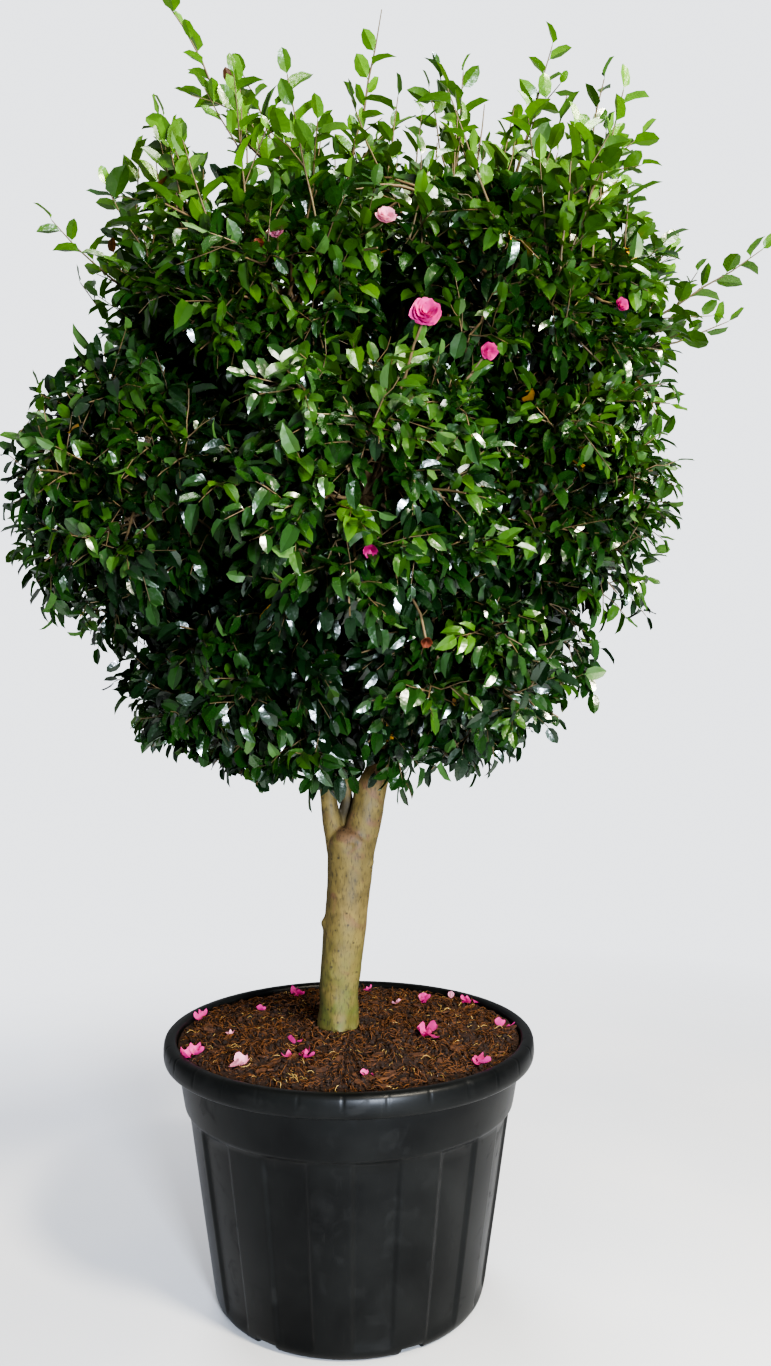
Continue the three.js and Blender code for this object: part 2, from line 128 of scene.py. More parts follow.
def add_node(tree: Tree, kind: str, inputs: dict | Sequence = (), **settings) -> Node:
    """Adds a node with its settings, values and links.

    Args:
        tree: Tree that the node goes into.
        kind: Node type name.
        inputs: Values by the inputs' names or numbers, or in their order. A socket is linked, and a
            hex colour is turned linear.
        **settings: Properties of the node itself.

    Returns:
        The new node.
    """
    node = tree.nodes.new(kind)
    for name, value in settings.items():
        setattr(node, name, value)
    for name, value in inputs.items() if isinstance(inputs, dict) else enumerate(inputs):
        if isinstance(value, Socket):
            tree.links.new(value, node.inputs[name])
        else:
            is_hex = isinstance(value, str) and value.startswith("#")
            node.inputs[name].default_value = linear(value) if is_hex else value
    return node


def mesh_object(name: str, vertices: Sequence, faces: Sequence, edges: Sequence = ()) -> Obj:
    """Makes an object of a mesh whose place is in its vertices.

    Args:
        name: Name of object and mesh.
        vertices: Points.
        faces: Vertex numbers of each face.
        edges: Vertex numbers of loose edges.

    Returns:
        The linked object.
    """
    mesh = bpy.data.meshes.new(name)
    mesh.from_pydata([tuple(v) for v in vertices], edges, faces)
    mesh.update()
    made = bpy.data.objects.new(name, mesh)
    bpy.context.scene.collection.objects.link(made)
    return made


def smooth(made: Obj) -> Obj:
    """Shades every face smooth and returns the object."""
    made.data.polygons.foreach_set("use_smooth", [True] * len(made.data.polygons))
    return made


def point_field(made: Obj, name: str, kind: str, values: Sequence) -> None:
    """Stores a value on every vertex.

    Args:
        made: Mesh object.
        name: Attribute name.
        kind: FLOAT, INT or FLOAT_VECTOR.
        values: One value for each vertex.
    """
    layer = made.data.attributes.new(name, kind, "POINT")
    key = "vector" if kind == "FLOAT_VECTOR" else "value"
    layer.data.foreach_set(key, np.asarray(values, dtype=np.int32 if kind == "INT" else np.float32).ravel())


def put_on(made: Obj, slot: str, *nodes: str) -> None:
    """Lets a finished piece ride on the plant's body and hides the solids it stands for.

    Args:
        made: Finished piece.
        slot: Material slot of the record; not used.
        *nodes: Names of the solids that it replaces.
    """
    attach(made, BODY)
    if nodes:
        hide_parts(*nodes)
    LOG.info("%s: %d faces", made.name, len(made.data.polygons))


def ring_faces(first: int, sides: int, rings: int, flipped: bool = False) -> list[Face]:
    """Faces of the wall between rings of points that follow each other.

    Args:
        first: Number of the first ring's first point.
        sides: Points in a ring.
        rings: How many rings.
        flipped: Whether the faces look the other way.

    Returns:
        The faces.
    """
    faces = []
    for low in range(first, first + (rings - 1) * sides, sides):
        for side in range(sides):
            after = (side + 1) % sides
            a, b, c, d = low + side, low + after, low + sides + after, low + sides + side
            faces.append((a, d, c, b) if flipped else (a, b, c, d))
    return faces


def closed_skin(name: str, vertices: Sequence[Vector], sides: int) -> Obj:
    """Makes an object of rings of points that follow each other, closed at both ends.

    Args:
        name: Name of object and mesh.
        vertices: Points, ring by ring.
        sides: Points in a ring.

    Returns:
        The linked object.
    """
    last = len(vertices) - sides
    ends = [tuple(reversed(range(sides))), tuple(range(last, last + sides))]
    return mesh_object(name, vertices, ends + ring_faces(0, sides, len(vertices) // sides))


def around(radius: float, turn: float, height: float = 0.0) -> Vector:
    """Point at a radius, a turn round the upright axis and a height."""
    return Vector((radius * math.cos(turn), radius * math.sin(turn), height))


# ---- Geometry Nodes ----


class Tool:
    """A Geometry Nodes group with named inputs, applied to an object to give a plain mesh."""

    def __init__(self, name: str, inputs: dict[str, str]) -> None:
        """Makes the group.

        Args:
            name: Group name.
            inputs: Name of each input but the material to its kind, such as Float or Int.
        """
        self.tree = bpy.data.node_groups.new(name, "GeometryNodeTree")
        for way in ("INPUT", "OUTPUT"):
            self.tree.interface.new_socket("Geometry", in_out=way, socket_type="NodeSocketGeometry")
        for label, kind in (*inputs.items(), ("Material", "Material")):
            self.tree.interface.new_socket(label, in_out="INPUT", socket_type="NodeSocket" + kind)
        self.given = self.add("NodeGroupInput").outputs
        self.result = self.add("NodeGroupOutput").inputs["Geometry"]

    def add(self, kind: str, inputs: dict | Sequence = (), **settings) -> Node:
        """Adds a node to the group; the arguments are those of add_node."""
        return add_node(self.tree, kind, inputs, **settings)

    def stored(self, name: str, kind: str) -> Socket:
        """Reads a value of a kind (FLOAT, INT or FLOAT_VECTOR) that is stored on the points."""
        return self.add("GeometryNodeInputNamedAttribute", {"Name": name}, data_type=kind).outputs[0]

    def close(self, geometry: Socket) -> None:
        """Ends the group in Realize Instances and Set Material.

        Args:
            geometry: Geometry to finish.
        """
        real = self.add("GeometryNodeRealizeInstances", {"Geometry": geometry}).outputs["Geometry"]
        values = {"Geometry": real, "Material": self.given["Material"]}
        dressed = self.add("GeometryNodeSetMaterial", values).outputs["Geometry"]
        self.tree.links.new(dressed, self.result)

    def apply(self, source: Obj, name: str, values: dict[str, object]) -> Obj:
        """Runs the group on an object and keeps the result as a plain mesh.

        Args:
            source: Object it works on, which is used up.
            name: Name of the result.
            values: Input name to value.

        Returns:
            The finished object.
        """
        modifier = source.modifiers.new("tool", "NODES")
        modifier.node_group = self.tree
        for item in self.tree.interface.items_tree:
            if item.item_type == "SOCKET" and item.in_out == "INPUT" and item.name in values:
                modifier[item.identifier] = values[item.name]
        source.update_tag()
        graph = bpy.context.evaluated_depsgraph_get()
        mesh = bpy.data.meshes.new_from_object(source.evaluated_get(graph), depsgraph=graph)
        mesh.name = name
        source.modifiers.remove(modifier)
        made = bpy.data.objects.new(name, mesh)
        bpy.context.scene.collection.objects.link(made)
        bpy.data.objects.remove(source)
        return made


class SpraySetter(Tool):
    """Sets small shapes from a collection on points that carry their turn, size and shape."""

    def __init__(self) -> None:
        """Builds the group."""
        kinds = {"Shapes": "Collection", "Size": "Float", "Variation": "Float", "Seed": "Int"}
        super().__init__("set_small_shapes", kinds)
        given = self.given
        values = {"Collection": given["Shapes"], "Separate Children": True, "Reset Children": True}
        shapes = self.add("GeometryNodeCollectionInfo", values)
        turn = self.add("FunctionNodeEulerToRotation", {"Euler": self.stored("turn", "FLOAT_VECTOR")})
        less, more = (
            self.add("ShaderNodeMath", (1.0, given["Variation"]), operation=operation).outputs[0]
            for operation in ("SUBTRACT", "ADD")
        )
        values = {2: less, 3: more, "Seed": given["Seed"]}
        chance = self.add("FunctionNodeRandomValue", values, data_type="FLOAT")
        size = self.stored("size", "FLOAT")
        sized = self.add("ShaderNodeMath", (size, given["Size"]), operation="MULTIPLY")
        scale = self.add("ShaderNodeMath", (sized.outputs[0], chance.outputs[1]), operation="MULTIPLY")
        values = {
            "Points": given["Geometry"], "Instance": shapes.outputs["Instances"], "Pick Instance": True,
            "Instance Index": self.stored("shape", "INT"), "Rotation": turn.outputs["Rotation"],
            "Scale": scale.outputs[0],
        }
        self.close(self.add("GeometryNodeInstanceOnPoints", values).outputs["Instances"])


class TwigSweeper(Tool):
    """Sweeps a round section along chains of edges that carry their thickness."""

    def __init__(self) -> None:
        """Builds the group."""
        super().__init__("sweep_twigs", {"Sides": "Int"})
        chains = self.add("GeometryNodeMeshToCurve", {"Mesh": self.given["Geometry"]}).outputs["Curve"]
        values = {"Curve": chains, "Radius": self.stored("thickness", "FLOAT")}
        thick = self.add("GeometryNodeSetCurveRadius", values).outputs["Curve"]
        values = {"Resolution": self.given["Sides"], "Radius": 1.0}
        section = self.add("GeometryNodeCurvePrimitiveCircle", values).outputs["Curve"]
        values = {"Curve": thick, "Profile Curve": section, "Fill Caps": True}
        swept = self.add("GeometryNodeCurveToMesh", values)
        if "Scale" in swept.inputs:
            self.tree.links.new(self.stored("thickness", "FLOAT"), swept.inputs["Scale"])
        self.close(swept.outputs["Mesh"])


# ---- Finishes ----


@dataclass(frozen=True)
class Patches:
    """A soft-edged pattern of a real size: the span of a noise from low to high gives least to most."""

    size_mm: float
    low: float
    high: float
    detail: float = 3.0
    warp: float = 0.0
    least: float = 0.0
    most: float = 1.0

    def add(self, tree: Tree, vector: Socket) -> Socket:
        """Adds the pattern.

        Args:
            tree: Material tree.
            vector: Coordinates in metres.

        Returns:
            Its strength.
        """
        values = {"Vector": vector, "Scale": per_metre(self.size_mm), "Detail": self.detail}
        raw = add_node(tree, "ShaderNodeTexNoise", values | {"Distortion": self.warp}).outputs[0]
        span = (raw, self.low, self.high, self.least, self.most)
        return add_node(tree, "ShaderNodeMapRange", span).outputs[0]


def layered(tree: Tree, colour: str | Socket, layers: Iterable[tuple[Socket, str]]) -> Socket:
    """Lays tones over a colour.

    Args:
        tree: Material tree.
        colour: The lowest colour.
        layers: Strength and hex colour of each tone, from the lowest up.

    Returns:
        The colour that shows.
    """
    for strength, tone in layers:
        values = {0: strength, 6: colour, 7: tone}
        colour = add_node(tree, "ShaderNodeMix", values, data_type="RGBA").outputs[2]
    return colour


@dataclass(frozen=True)
class Finish:
    """What all finishes share: a node material, named for the real one, on Object coordinates."""

    name: str

    def shade(self, tree: Tree, place: Socket) -> Socket:
        """Builds the surface; each finish has its own.

        Args:
            tree: Material tree.
            place: Object coordinates.

        Returns:
            The shader's output.
        """
        raise NotImplementedError

    def material(self) -> Material:
        """Makes the material.

        Returns:
            The material with its surface.
        """
        material = bpy.data.materials.new(self.name)
        material.use_nodes = True
        tree = material.node_tree
        tree.nodes.clear()
        place = add_node(tree, "ShaderNodeTexCoord").outputs["Object"]
        add_node(tree, "ShaderNodeOutputMaterial", {"Surface": self.shade(tree, place)})
        return material


@dataclass(frozen=True)
class LeafFinish(Finish):
    """Camellia leaf: a waxy cuticle over green tissue that lets a little light through."""

    colour: str
    glow: str
    roughness: float = 0.34
    through: float = 0.2
    coat: float = 0.25
    coat_roughness: float = 0.13
    ripple_mm: float = 13.0
    ripple_depth: float = 3.0 * MM

    def shade(self, tree: Tree, place: Socket) -> Socket:
        """A plain base colour on a rippled blade that breaks the waxy gloss into glints.

        Args:
            tree: Material tree.
            place: Object coordinates.

        Returns:
            The shader's output.
        """
        values = {"Vector": place, "Scale": per_metre(self.ripple_mm), "Detail": 2.0}
        ripples = add_node(tree, "ShaderNodeTexNoise", values).outputs[0]
        values = {"Height": ripples, "Strength": 0.6, "Distance": self.ripple_depth}
        bump = add_node(tree, "ShaderNodeBump", values)
        values = {
            "Base Color": self.colour, "Roughness": self.roughness, "IOR": 1.45, "Coat Weight": self.coat,
            "Coat Roughness": self.coat_roughness, "Normal": bump.outputs[0],
        }
        blade = add_node(tree, "ShaderNodeBsdfPrincipled", values).outputs[0]
        glow = add_node(tree, "ShaderNodeBsdfTranslucent", {"Color": self.glow}).outputs[0]
        return add_node(tree, "ShaderNodeMixShader", (self.through, blade, glow)).outputs[0]


@dataclass(frozen=True)
class TissueFinish(Finish):
    """Soft living tissue in two close tones, which may let some light through."""

    colour: str
    second: str
    patch_mm: float = 6.0
    roughness: float = 0.55
    through: float = 0.3

    def shade(self, tree: Tree, place: Socket) -> Socket:
        """Two tones in soft patches, with light passing through a share of them.

        Args:
            tree: Material tree.
            place: Object coordinates.

        Returns:
            The shader's output.
        """
        values = {"Vector": place, "Scale": per_metre(self.patch_mm), "Detail": 2.0}
        patches = add_node(tree, "ShaderNodeTexNoise", values).outputs[0]
        tones = layered(tree, self.colour, [(patches, self.second)])
        values = {"Base Color": tones, "Roughness": self.roughness}
        tissue = add_node(tree, "ShaderNodeBsdfPrincipled", values).outputs[0]
        if not self.through:
            return tissue
        glow = add_node(tree, "ShaderNodeBsdfTranslucent", {"Color": self.colour}).outputs[0]
        return add_node(tree, "ShaderNodeMixShader", (self.through, tissue, glow)).outputs[0]


@dataclass(frozen=True)
class PetalFinish(TissueFinish):
    """Camellia petal: thin, matt and slightly see-through, softly streaked."""


@dataclass(frozen=True)
class TwigFinish(TissueFinish):
    """Young wood: thin satin skin, tan-brown, greener where it is newest."""

    patch_mm: float = 22.0
    roughness: float = 0.6
    through: float = 0.0


@dataclass(frozen=True)
class BarkFinish(Finish):
    """Camellia bark: thin, smooth, tan with a grey-olive bloom and pinkish scuffs."""

    name: str = "smooth camellia bark"
    tan: str = "#544724"
    pale: str = "#6b5c32"
    olive: str = "#4c4f23"
    rust: str = "#614530"
    # dark tone of the grain and lenticels, also laid on as painted shade in the crotch of the fork
    dark: str = "#2b2519"
    blotches: Patches = Patches(38.0, 0.36, 0.66, 4.0, 0.6)
    scuffs: Patches = Patches(55.0, 0.56, 0.68, 3.0, 1.2, 0.0, 0.75)
    algae: Patches = Patches(30.0, 0.3, 0.62, 4.0, 0.4, 0.2, 1.0)
    algae_top: float = 0.70
    algae_foot: float = 0.52
    grain_mm: float = 3.2
    grain_stretch: float = 0.28
    lenticel_mm: float = 18.0
    # painted shade: bark near this point in the crotch of the fork, with the web of bark there, is darkened
    # with the dark tone out to the reach on the next line
    fork: Triple = (-0.008, 0.018, 0.885)
    fork_shade_reach: float = 0.042

    def shade(self, tree: Tree, place: Socket) -> Socket:
        """Blotches, a green foot, small dark lenticels, a fine upright grain and painted shade in the crotch
        of the fork.

        Args:
            tree: Material tree.
            place: Object coordinates.

        Returns:
            The shader's output.
        """
        blotches = self.blotches.add(tree, place)
        height = add_node(tree, "ShaderNodeSeparateXYZ", {"Vector": place}).outputs["Z"]
        foot = add_node(tree, "ShaderNodeMapRange", (height, self.algae_top, self.algae_foot)).outputs[0]
        patches = self.algae.add(tree, place)
        algae = add_node(tree, "ShaderNodeMath", (foot, patches), operation="MULTIPLY").outputs[0]
        stretch = {"Vector": place, "Scale": (1.0, 1.0, self.grain_stretch)}
        upright = add_node(tree, "ShaderNodeMapping", stretch).outputs[0]
        values = {"Vector": upright, "Scale": per_metre(self.grain_mm), "Detail": 5.0}
        grain = add_node(tree, "ShaderNodeTexNoise", values).outputs[0]
        values = {"Vector": place, "Scale": per_metre(self.lenticel_mm), "Randomness": 1.0}
        cells = add_node(tree, "ShaderNodeTexVoronoi", values).outputs["Distance"]
        # painted shade in the crotch: full near the fork point, gone at the reach given above
        away = add_node(tree, "ShaderNodeVectorMath", (place, self.fork), operation="DISTANCE").outputs[1]
        marks_and_fork_shade = [
            add_node(tree, "ShaderNodeMapRange", span).outputs[0]
            for span in (
                (grain, 0.52, 0.72, 0.0, 0.75), (cells, 0.16, 0.08, 0.0, 0.8),
                (away, self.fork_shade_reach, 0.4 * self.fork_shade_reach, 0.0, 0.85),
            )
        ]
        layers = [(blotches, self.pale), (self.scuffs.add(tree, place), self.rust), (algae, self.olive)]
        colour = layered(tree, self.tan, layers + [(mark, self.dark) for mark in marks_and_fork_shade])
        relief = add_node(tree, "ShaderNodeBump", {"Height": grain, "Strength": 0.5, "Distance": 0.8 * MM})
        rough = add_node(tree, "ShaderNodeMapRange", (blotches, 0.0, 1.0, 0.62, 0.82)).outputs[0]
        values = {"Base Color": colour, "Roughness": rough, "IOR": 1.45, "Normal": relief.outputs[0]}
        return add_node(tree, "ShaderNodeBsdfPrincipled", values).outputs[0]


@dataclass(frozen=True)
class PotFinish(Finish):
    """Injection-moulded black polypropylene, greyed by handling and dust."""

    name: str = "moulded black polypropylene"
    black: str = "#070808"
    grey: str = "#151615"
    dust: str = "#252523"
    clouds: Patches = Patches(120.0, 0.35, 0.7, 4.0)
    scuffs: Patches = Patches(5.0, 0.62, 0.8, 4.0, 0.0, 0.0, 0.35)
    smudges: Patches = Patches(42.0, 0.58, 0.76, 5.0, 0.8, 0.0, 0.25)
    scuff_stretch: float = 0.05
    pit_mm: float = 1.6

    def shade(self, tree: Tree, place: Socket) -> Socket:
        """Clouded black plastic with upright scuffs, and smudges of dust that dull it.

        Args:
            tree: Material tree.
            place: Object coordinates.

        Returns:
            The shader's output.
        """
        stretch = {"Vector": place, "Scale": (1.0, 1.0, self.scuff_stretch)}
        upright = add_node(tree, "ShaderNodeMapping", stretch).outputs[0]
        smudges = self.smudges.add(tree, place)
        layers = [(self.clouds.add(tree, place), self.grey), (self.scuffs.add(tree, upright), self.dust)]
        colour = layered(tree, self.black, layers + [(smudges, self.dust)])
        values = {"Vector": place, "Scale": per_metre(self.pit_mm), "Detail": 2.0}
        pits = add_node(tree, "ShaderNodeTexNoise", values).outputs[0]
        bump = add_node(tree, "ShaderNodeBump", {"Height": pits, "Strength": 0.12, "Distance": 0.4 * MM})
        rough = add_node(tree, "ShaderNodeMapRange", (smudges, 0.0, self.smudges.most, 0.38, 0.6)).outputs[0]
        values = {
            "Base Color": colour, "Roughness": rough, "IOR": 1.49, "Specular IOR Level": 0.2,
            "Normal": bump.outputs[0],
        }
        return add_node(tree, "ShaderNodeBsdfPrincipled", values).outputs[0]


@dataclass(frozen=True)
class MixFinish(Finish):
    """One of the tones of a moist potting mix: rough, loose and dull."""

    dark: str
    light: str
    size_mm: float = 7.0

    def shade(self, tree: Tree, place: Socket) -> Socket:
        """Two tones in crumbs, fully matt.

        Args:
            tree: Material tree.
            place: Object coordinates.

        Returns:
            The shader's output.
        """
        values = {"Vector": place, "Scale": per_metre(self.size_mm), "Detail": 5.0}
        crumbs = add_node(tree, "ShaderNodeTexNoise", values).outputs[0]
        light = add_node(tree, "ShaderNodeMapRange", (crumbs, 0.35, 0.65)).outputs[0]
        bump = add_node(tree, "ShaderNodeBump", {"Height": crumbs, "Strength": 0.8, "Distance": 2.0 * MM})
        colour = layered(tree, self.dark, [(light, self.light)])
        values = {"Base Color": colour, "Roughness": 0.9, "Normal": bump.outputs[0]}
        return add_node(tree, "ShaderNodeBsdfPrincipled", values).outputs[0]


@dataclass(frozen=True)
class StageFinish(Finish):
    """Matt painted studio floor that ends softly, some way from the pot."""

    name: str = "matt floor paint"
    colour: str = "#bcbec0"
    worn: str = "#c4c4c3"
    clouds: Patches = Patches(600.0, 0.3, 0.7)
    near: float = 1.2
    far: float = 2.8

    def shade(self, tree: Tree, place: Socket) -> Socket:
        """Pale grey paint with very soft clouding, thinning out to nothing with distance.

        Args:
            tree: Material tree.
            place: Object coordinates.

        Returns:
            The shader's output.
        """
        tint = layered(tree, self.colour, [(self.clouds.add(tree, place), self.worn)])
        paint = add_node(tree, "ShaderNodeBsdfPrincipled", {"Base Color": tint, "Roughness": 0.7}).outputs[0]
        away = add_node(tree, "ShaderNodeVectorMath", (place,), operation="LENGTH").outputs["Value"]
        gone = add_node(tree, "ShaderNodeMapRange", (away, self.near, self.far)).outputs[0]
        clear = add_node(tree, "ShaderNodeBsdfTransparent").outputs[0]
        return add_node(tree, "ShaderNodeMixShader", (gone, paint, clear)).outputs[0]


# ---- Pot ----


def smoothstep(low: float, high: float, value: float) -> float:
    """Smooth step from 0 at low to 1 at high.

    Args:
        low: Value that gives 0.
        high: Value that gives 1.
        value: Value to test.

    Returns:
        A share from 0 to 1.
    """
    share = min(1.0, max(0.0, (value - low) / (high - low)))
    return share * share * (3.0 - 2.0 * share)


@dataclass
class NurseryPot:
    """Round fluted container with a rolled rim and drain notches in its bottom edge."""

    sides: int = 720
    flutes: int = 12
    flute_depth: float = 5.0 * MM
    rib_centre: float = 25.5
    rib_half: float = 7.5
    edge_soft: float = 1.0
    flute_foot: float = 0.030
    flute_top: float = 0.352
    notches: int = 6
    notch_first: float = 57.0
    notch_half: float = 0.0215
    notch_height: float = 0.0115
    rim_seam_step: float = 12.0
    rim_seam_first: float = 6.0
    rim_seam_depth: float = 1.1 * MM
    rim_foot: float = 0.450
    rim_inside: float = 0.330
    foot: float = 0.241
    outside: tuple[tuple[float, float], ...] = (
        (0.0, 0.0), (0.120, 0.0), (0.220, 0.0), (0.235, 0.0), (0.2395, 0.0012), (0.2435, 0.004),
        (0.2468, 0.0085), (0.2492, 0.0145), (0.2508, 0.021), (0.2521, 0.028), (0.2545, 0.042),
        (0.2650, 0.116), (0.2755, 0.190), (0.2860, 0.266), (0.2945, 0.327), (0.2968, 0.343),
        (0.2980, 0.3500), (0.3008, 0.3535), (0.3036, 0.3565), (0.3045, 0.360), (0.3070, 0.374),
        (0.3120, 0.404), (0.3160, 0.4305), (0.3168, 0.4350), (0.3190, 0.4364), (0.3240, 0.4367),
        (0.3345, 0.4371), (0.3385, 0.4380), (0.3406, 0.4402), (0.3419, 0.4440), (0.3427, 0.4500),
        (0.3424, 0.4600), (0.3414, 0.4680), (0.3398, 0.4725), (0.3368, 0.4755), (0.3320, 0.4769),
        (0.3265, 0.4770), (0.3225, 0.4762), (0.3197, 0.4740), (0.3182, 0.4700), (0.3168, 0.4640),
    )
    inside: tuple[tuple[float, float], ...] = ((0.3150, 0.4530), (0.3130, 0.4430), (0.3110, 0.4360))

    def sunk(self, angle: float, height: float) -> float:
        """How far a flute's panel is sunk at a place on the wall.

        Args:
            angle: Degrees round the pot.
            height: Height above the floor.

        Returns:
            Depth in metres.
        """
        step = 360.0 / self.flutes
        off_centre = abs((angle - self.rib_centre + step / 2.0) % step - step / 2.0)
        across = smoothstep(self.rib_half - self.edge_soft, self.rib_half + self.edge_soft, off_centre)
        upright = smoothstep(self.flute_foot - 0.014, self.flute_foot + 0.004, height)
        upright *= 1.0 - smoothstep(self.flute_top - 0.006, self.flute_top, height)
        return self.flute_depth * across * upright

    def lifted(self, angle: float, height: float) -> float:
        """Height of the bottom edge where a drain notch is cut into it.

        Args:
            angle: Degrees round the pot.
            height: Height of the row of points.

        Returns:
            Height after the notch.
        """
        step = 360.0 / self.notches
        off_centre = abs((angle - self.notch_first + step / 2.0) % step - step / 2.0)
        half = math.degrees(self.notch_half / self.foot)
        inside_notch = 1.0 - smoothstep(half - 0.4, half + 0.4, off_centre)
        return max(height, self.notch_height * inside_notch)

    def ring(self, radius: float, height: float, open_rows: bool) -> list[Vector]:
        """One row of the pot's skin.

        Args:
            radius: Radius of the row before flutes.
            height: Height of the row before notches.
            open_rows: Whether flutes and notches reach this row.

        Returns:
            Its points.
        """
        points = []
        for side in range(self.sides):
            angle = 360.0 * side / self.sides
            turn = math.radians(angle)
            reach = radius
            level = height
            if open_rows:
                reach -= self.sunk(angle, height)
                if radius > self.foot - 0.025:
                    level = self.lifted(angle, height)
                if height > self.rim_foot and radius > self.rim_inside:
                    step = self.rim_seam_step
                    seam = abs((angle - self.rim_seam_first + step / 2.0) % step - step / 2.0)
                    reach -= self.rim_seam_depth * (1.0 - smoothstep(0.1, 0.6, seam))
            points.append(around(reach, turn, level))
        return points

    def build(self) -> None:
        """Builds and dresses the pot."""
        rows = [self.ring(radius, height, True) for radius, height in self.outside[1:]]
        rows += [self.ring(radius, height, False) for radius, height in self.inside]
        vertices = [Vector((0.0, 0.0, 0.0))] + [point for row in rows for point in row]
        faces = [(0, 1 + (side + 1) % self.sides, 1 + side) for side in range(self.sides)]
        faces += ring_faces(1, self.sides, len(rows))
        pot = smooth(mesh_object("nursery_pot", vertices, faces))
        pot.data.materials.append(PotFinish().material())
        put_on(pot, "pot", "pot")


# ---- Potting mix ----


def collection_of(name: str, shapes: Iterable[Obj]) -> Group:
    """Puts shapes into a collection of their own, out of the scene.

    Args:
        name: Collection name.
        shapes: Objects to move there, in the order of their index.

    Returns:
        The collection.
    """
    group = bpy.data.collections.new(name)
    for shape in shapes:
        group.objects.link(shape)
        bpy.context.scene.collection.objects.unlink(shape)
    return group


def discard(group: Group) -> None:
    """Removes a collection of source shapes once they have been set.

    Args:
        group: Collection to remove with its objects.
    """
    for shape in list(group.objects):
        bpy.data.objects.remove(shape)
    bpy.data.collections.remove(group)


@dataclass
class SetPoints:
    """Points that carry the turn, size and shape number of what is set on them."""

    places: list[Vector] = field(default_factory=list)
    turns: list[Triple] = field(default_factory=list)
    sizes: list[float] = field(default_factory=list)
    shapes: list[int] = field(default_factory=list)

    def put(self, place: Vector, turn: Matrix | Quaternion, size: float, shape: int) -> None:
        """Adds a point.

        Args:
            place: Where the shape's origin goes.
            turn: How it is turned.
            size: Its scale.
            shape: Its number in the collection.
        """
        self.places.append(place)
        self.turns.append(tuple(turn.to_euler()))
        self.sizes.append(size)
        self.shapes.append(shape)

    def parts(self, most: int) -> list["SetPoints"]:
        """Cuts the points into runs that are short enough for one piece each.

        Args:
            most: Most points in a run.

        Returns:
            The runs, none of them empty.
        """
        found = []
        for first in range(0, len(self.places), most):
            run = slice(first, first + most)
            found.append(SetPoints(self.places[run], self.turns[run], self.sizes[run], self.shapes[run]))
        return found

    def set_shapes(
        self, name: str, tool: SpraySetter, shapes: Group, material: Material, variation: float, seed: int
    ) -> Obj:
        """Sets the shapes and keeps them as one mesh.

        Args:
            name: Name of the piece.
            tool: Group that sets them.
            shapes: Source shapes.
            material: Their finish.
            variation: Share by which sizes differ.
            seed: Seed of that difference.

        Returns:
            The finished mesh object.
        """
        source = mesh_object(name + "_points", self.places, [])
        point_field(source, "turn", "FLOAT_VECTOR", self.turns)
        point_field(source, "size", "FLOAT", self.sizes)
        point_field(source, "shape", "INT", self.shapes)
        values = {"Shapes": shapes, "Size": 1.0, "Variation": variation, "Seed": seed, "Material": material}
        return tool.apply(source, name, values)


def random_turn(rng: Random) -> Quaternion:
    """Any turn in space, all as likely.

    Args:
        rng: Seeded random numbers.

    Returns:
        The turn.
    """
    return Quaternion((rng.gauss(0, 1), rng.gauss(0, 1), rng.gauss(0, 1), rng.gauss(0, 1))).normalized()


class Bit(Enum):
    """Shapes that lie in the mix."""

    CRUMB = "crumb"
    STRAND = "strand"
    CHIP = "chip"


@dataclass(frozen=True)
class Litter:
    """One kind of bit strewn over the mix; rise is how far its middle stands up, in sizes."""

    name: str
    bit: Bit
    finish: MixFinish
    count: int
    smallest: float
    largest: float
    lies: bool
    rise: float


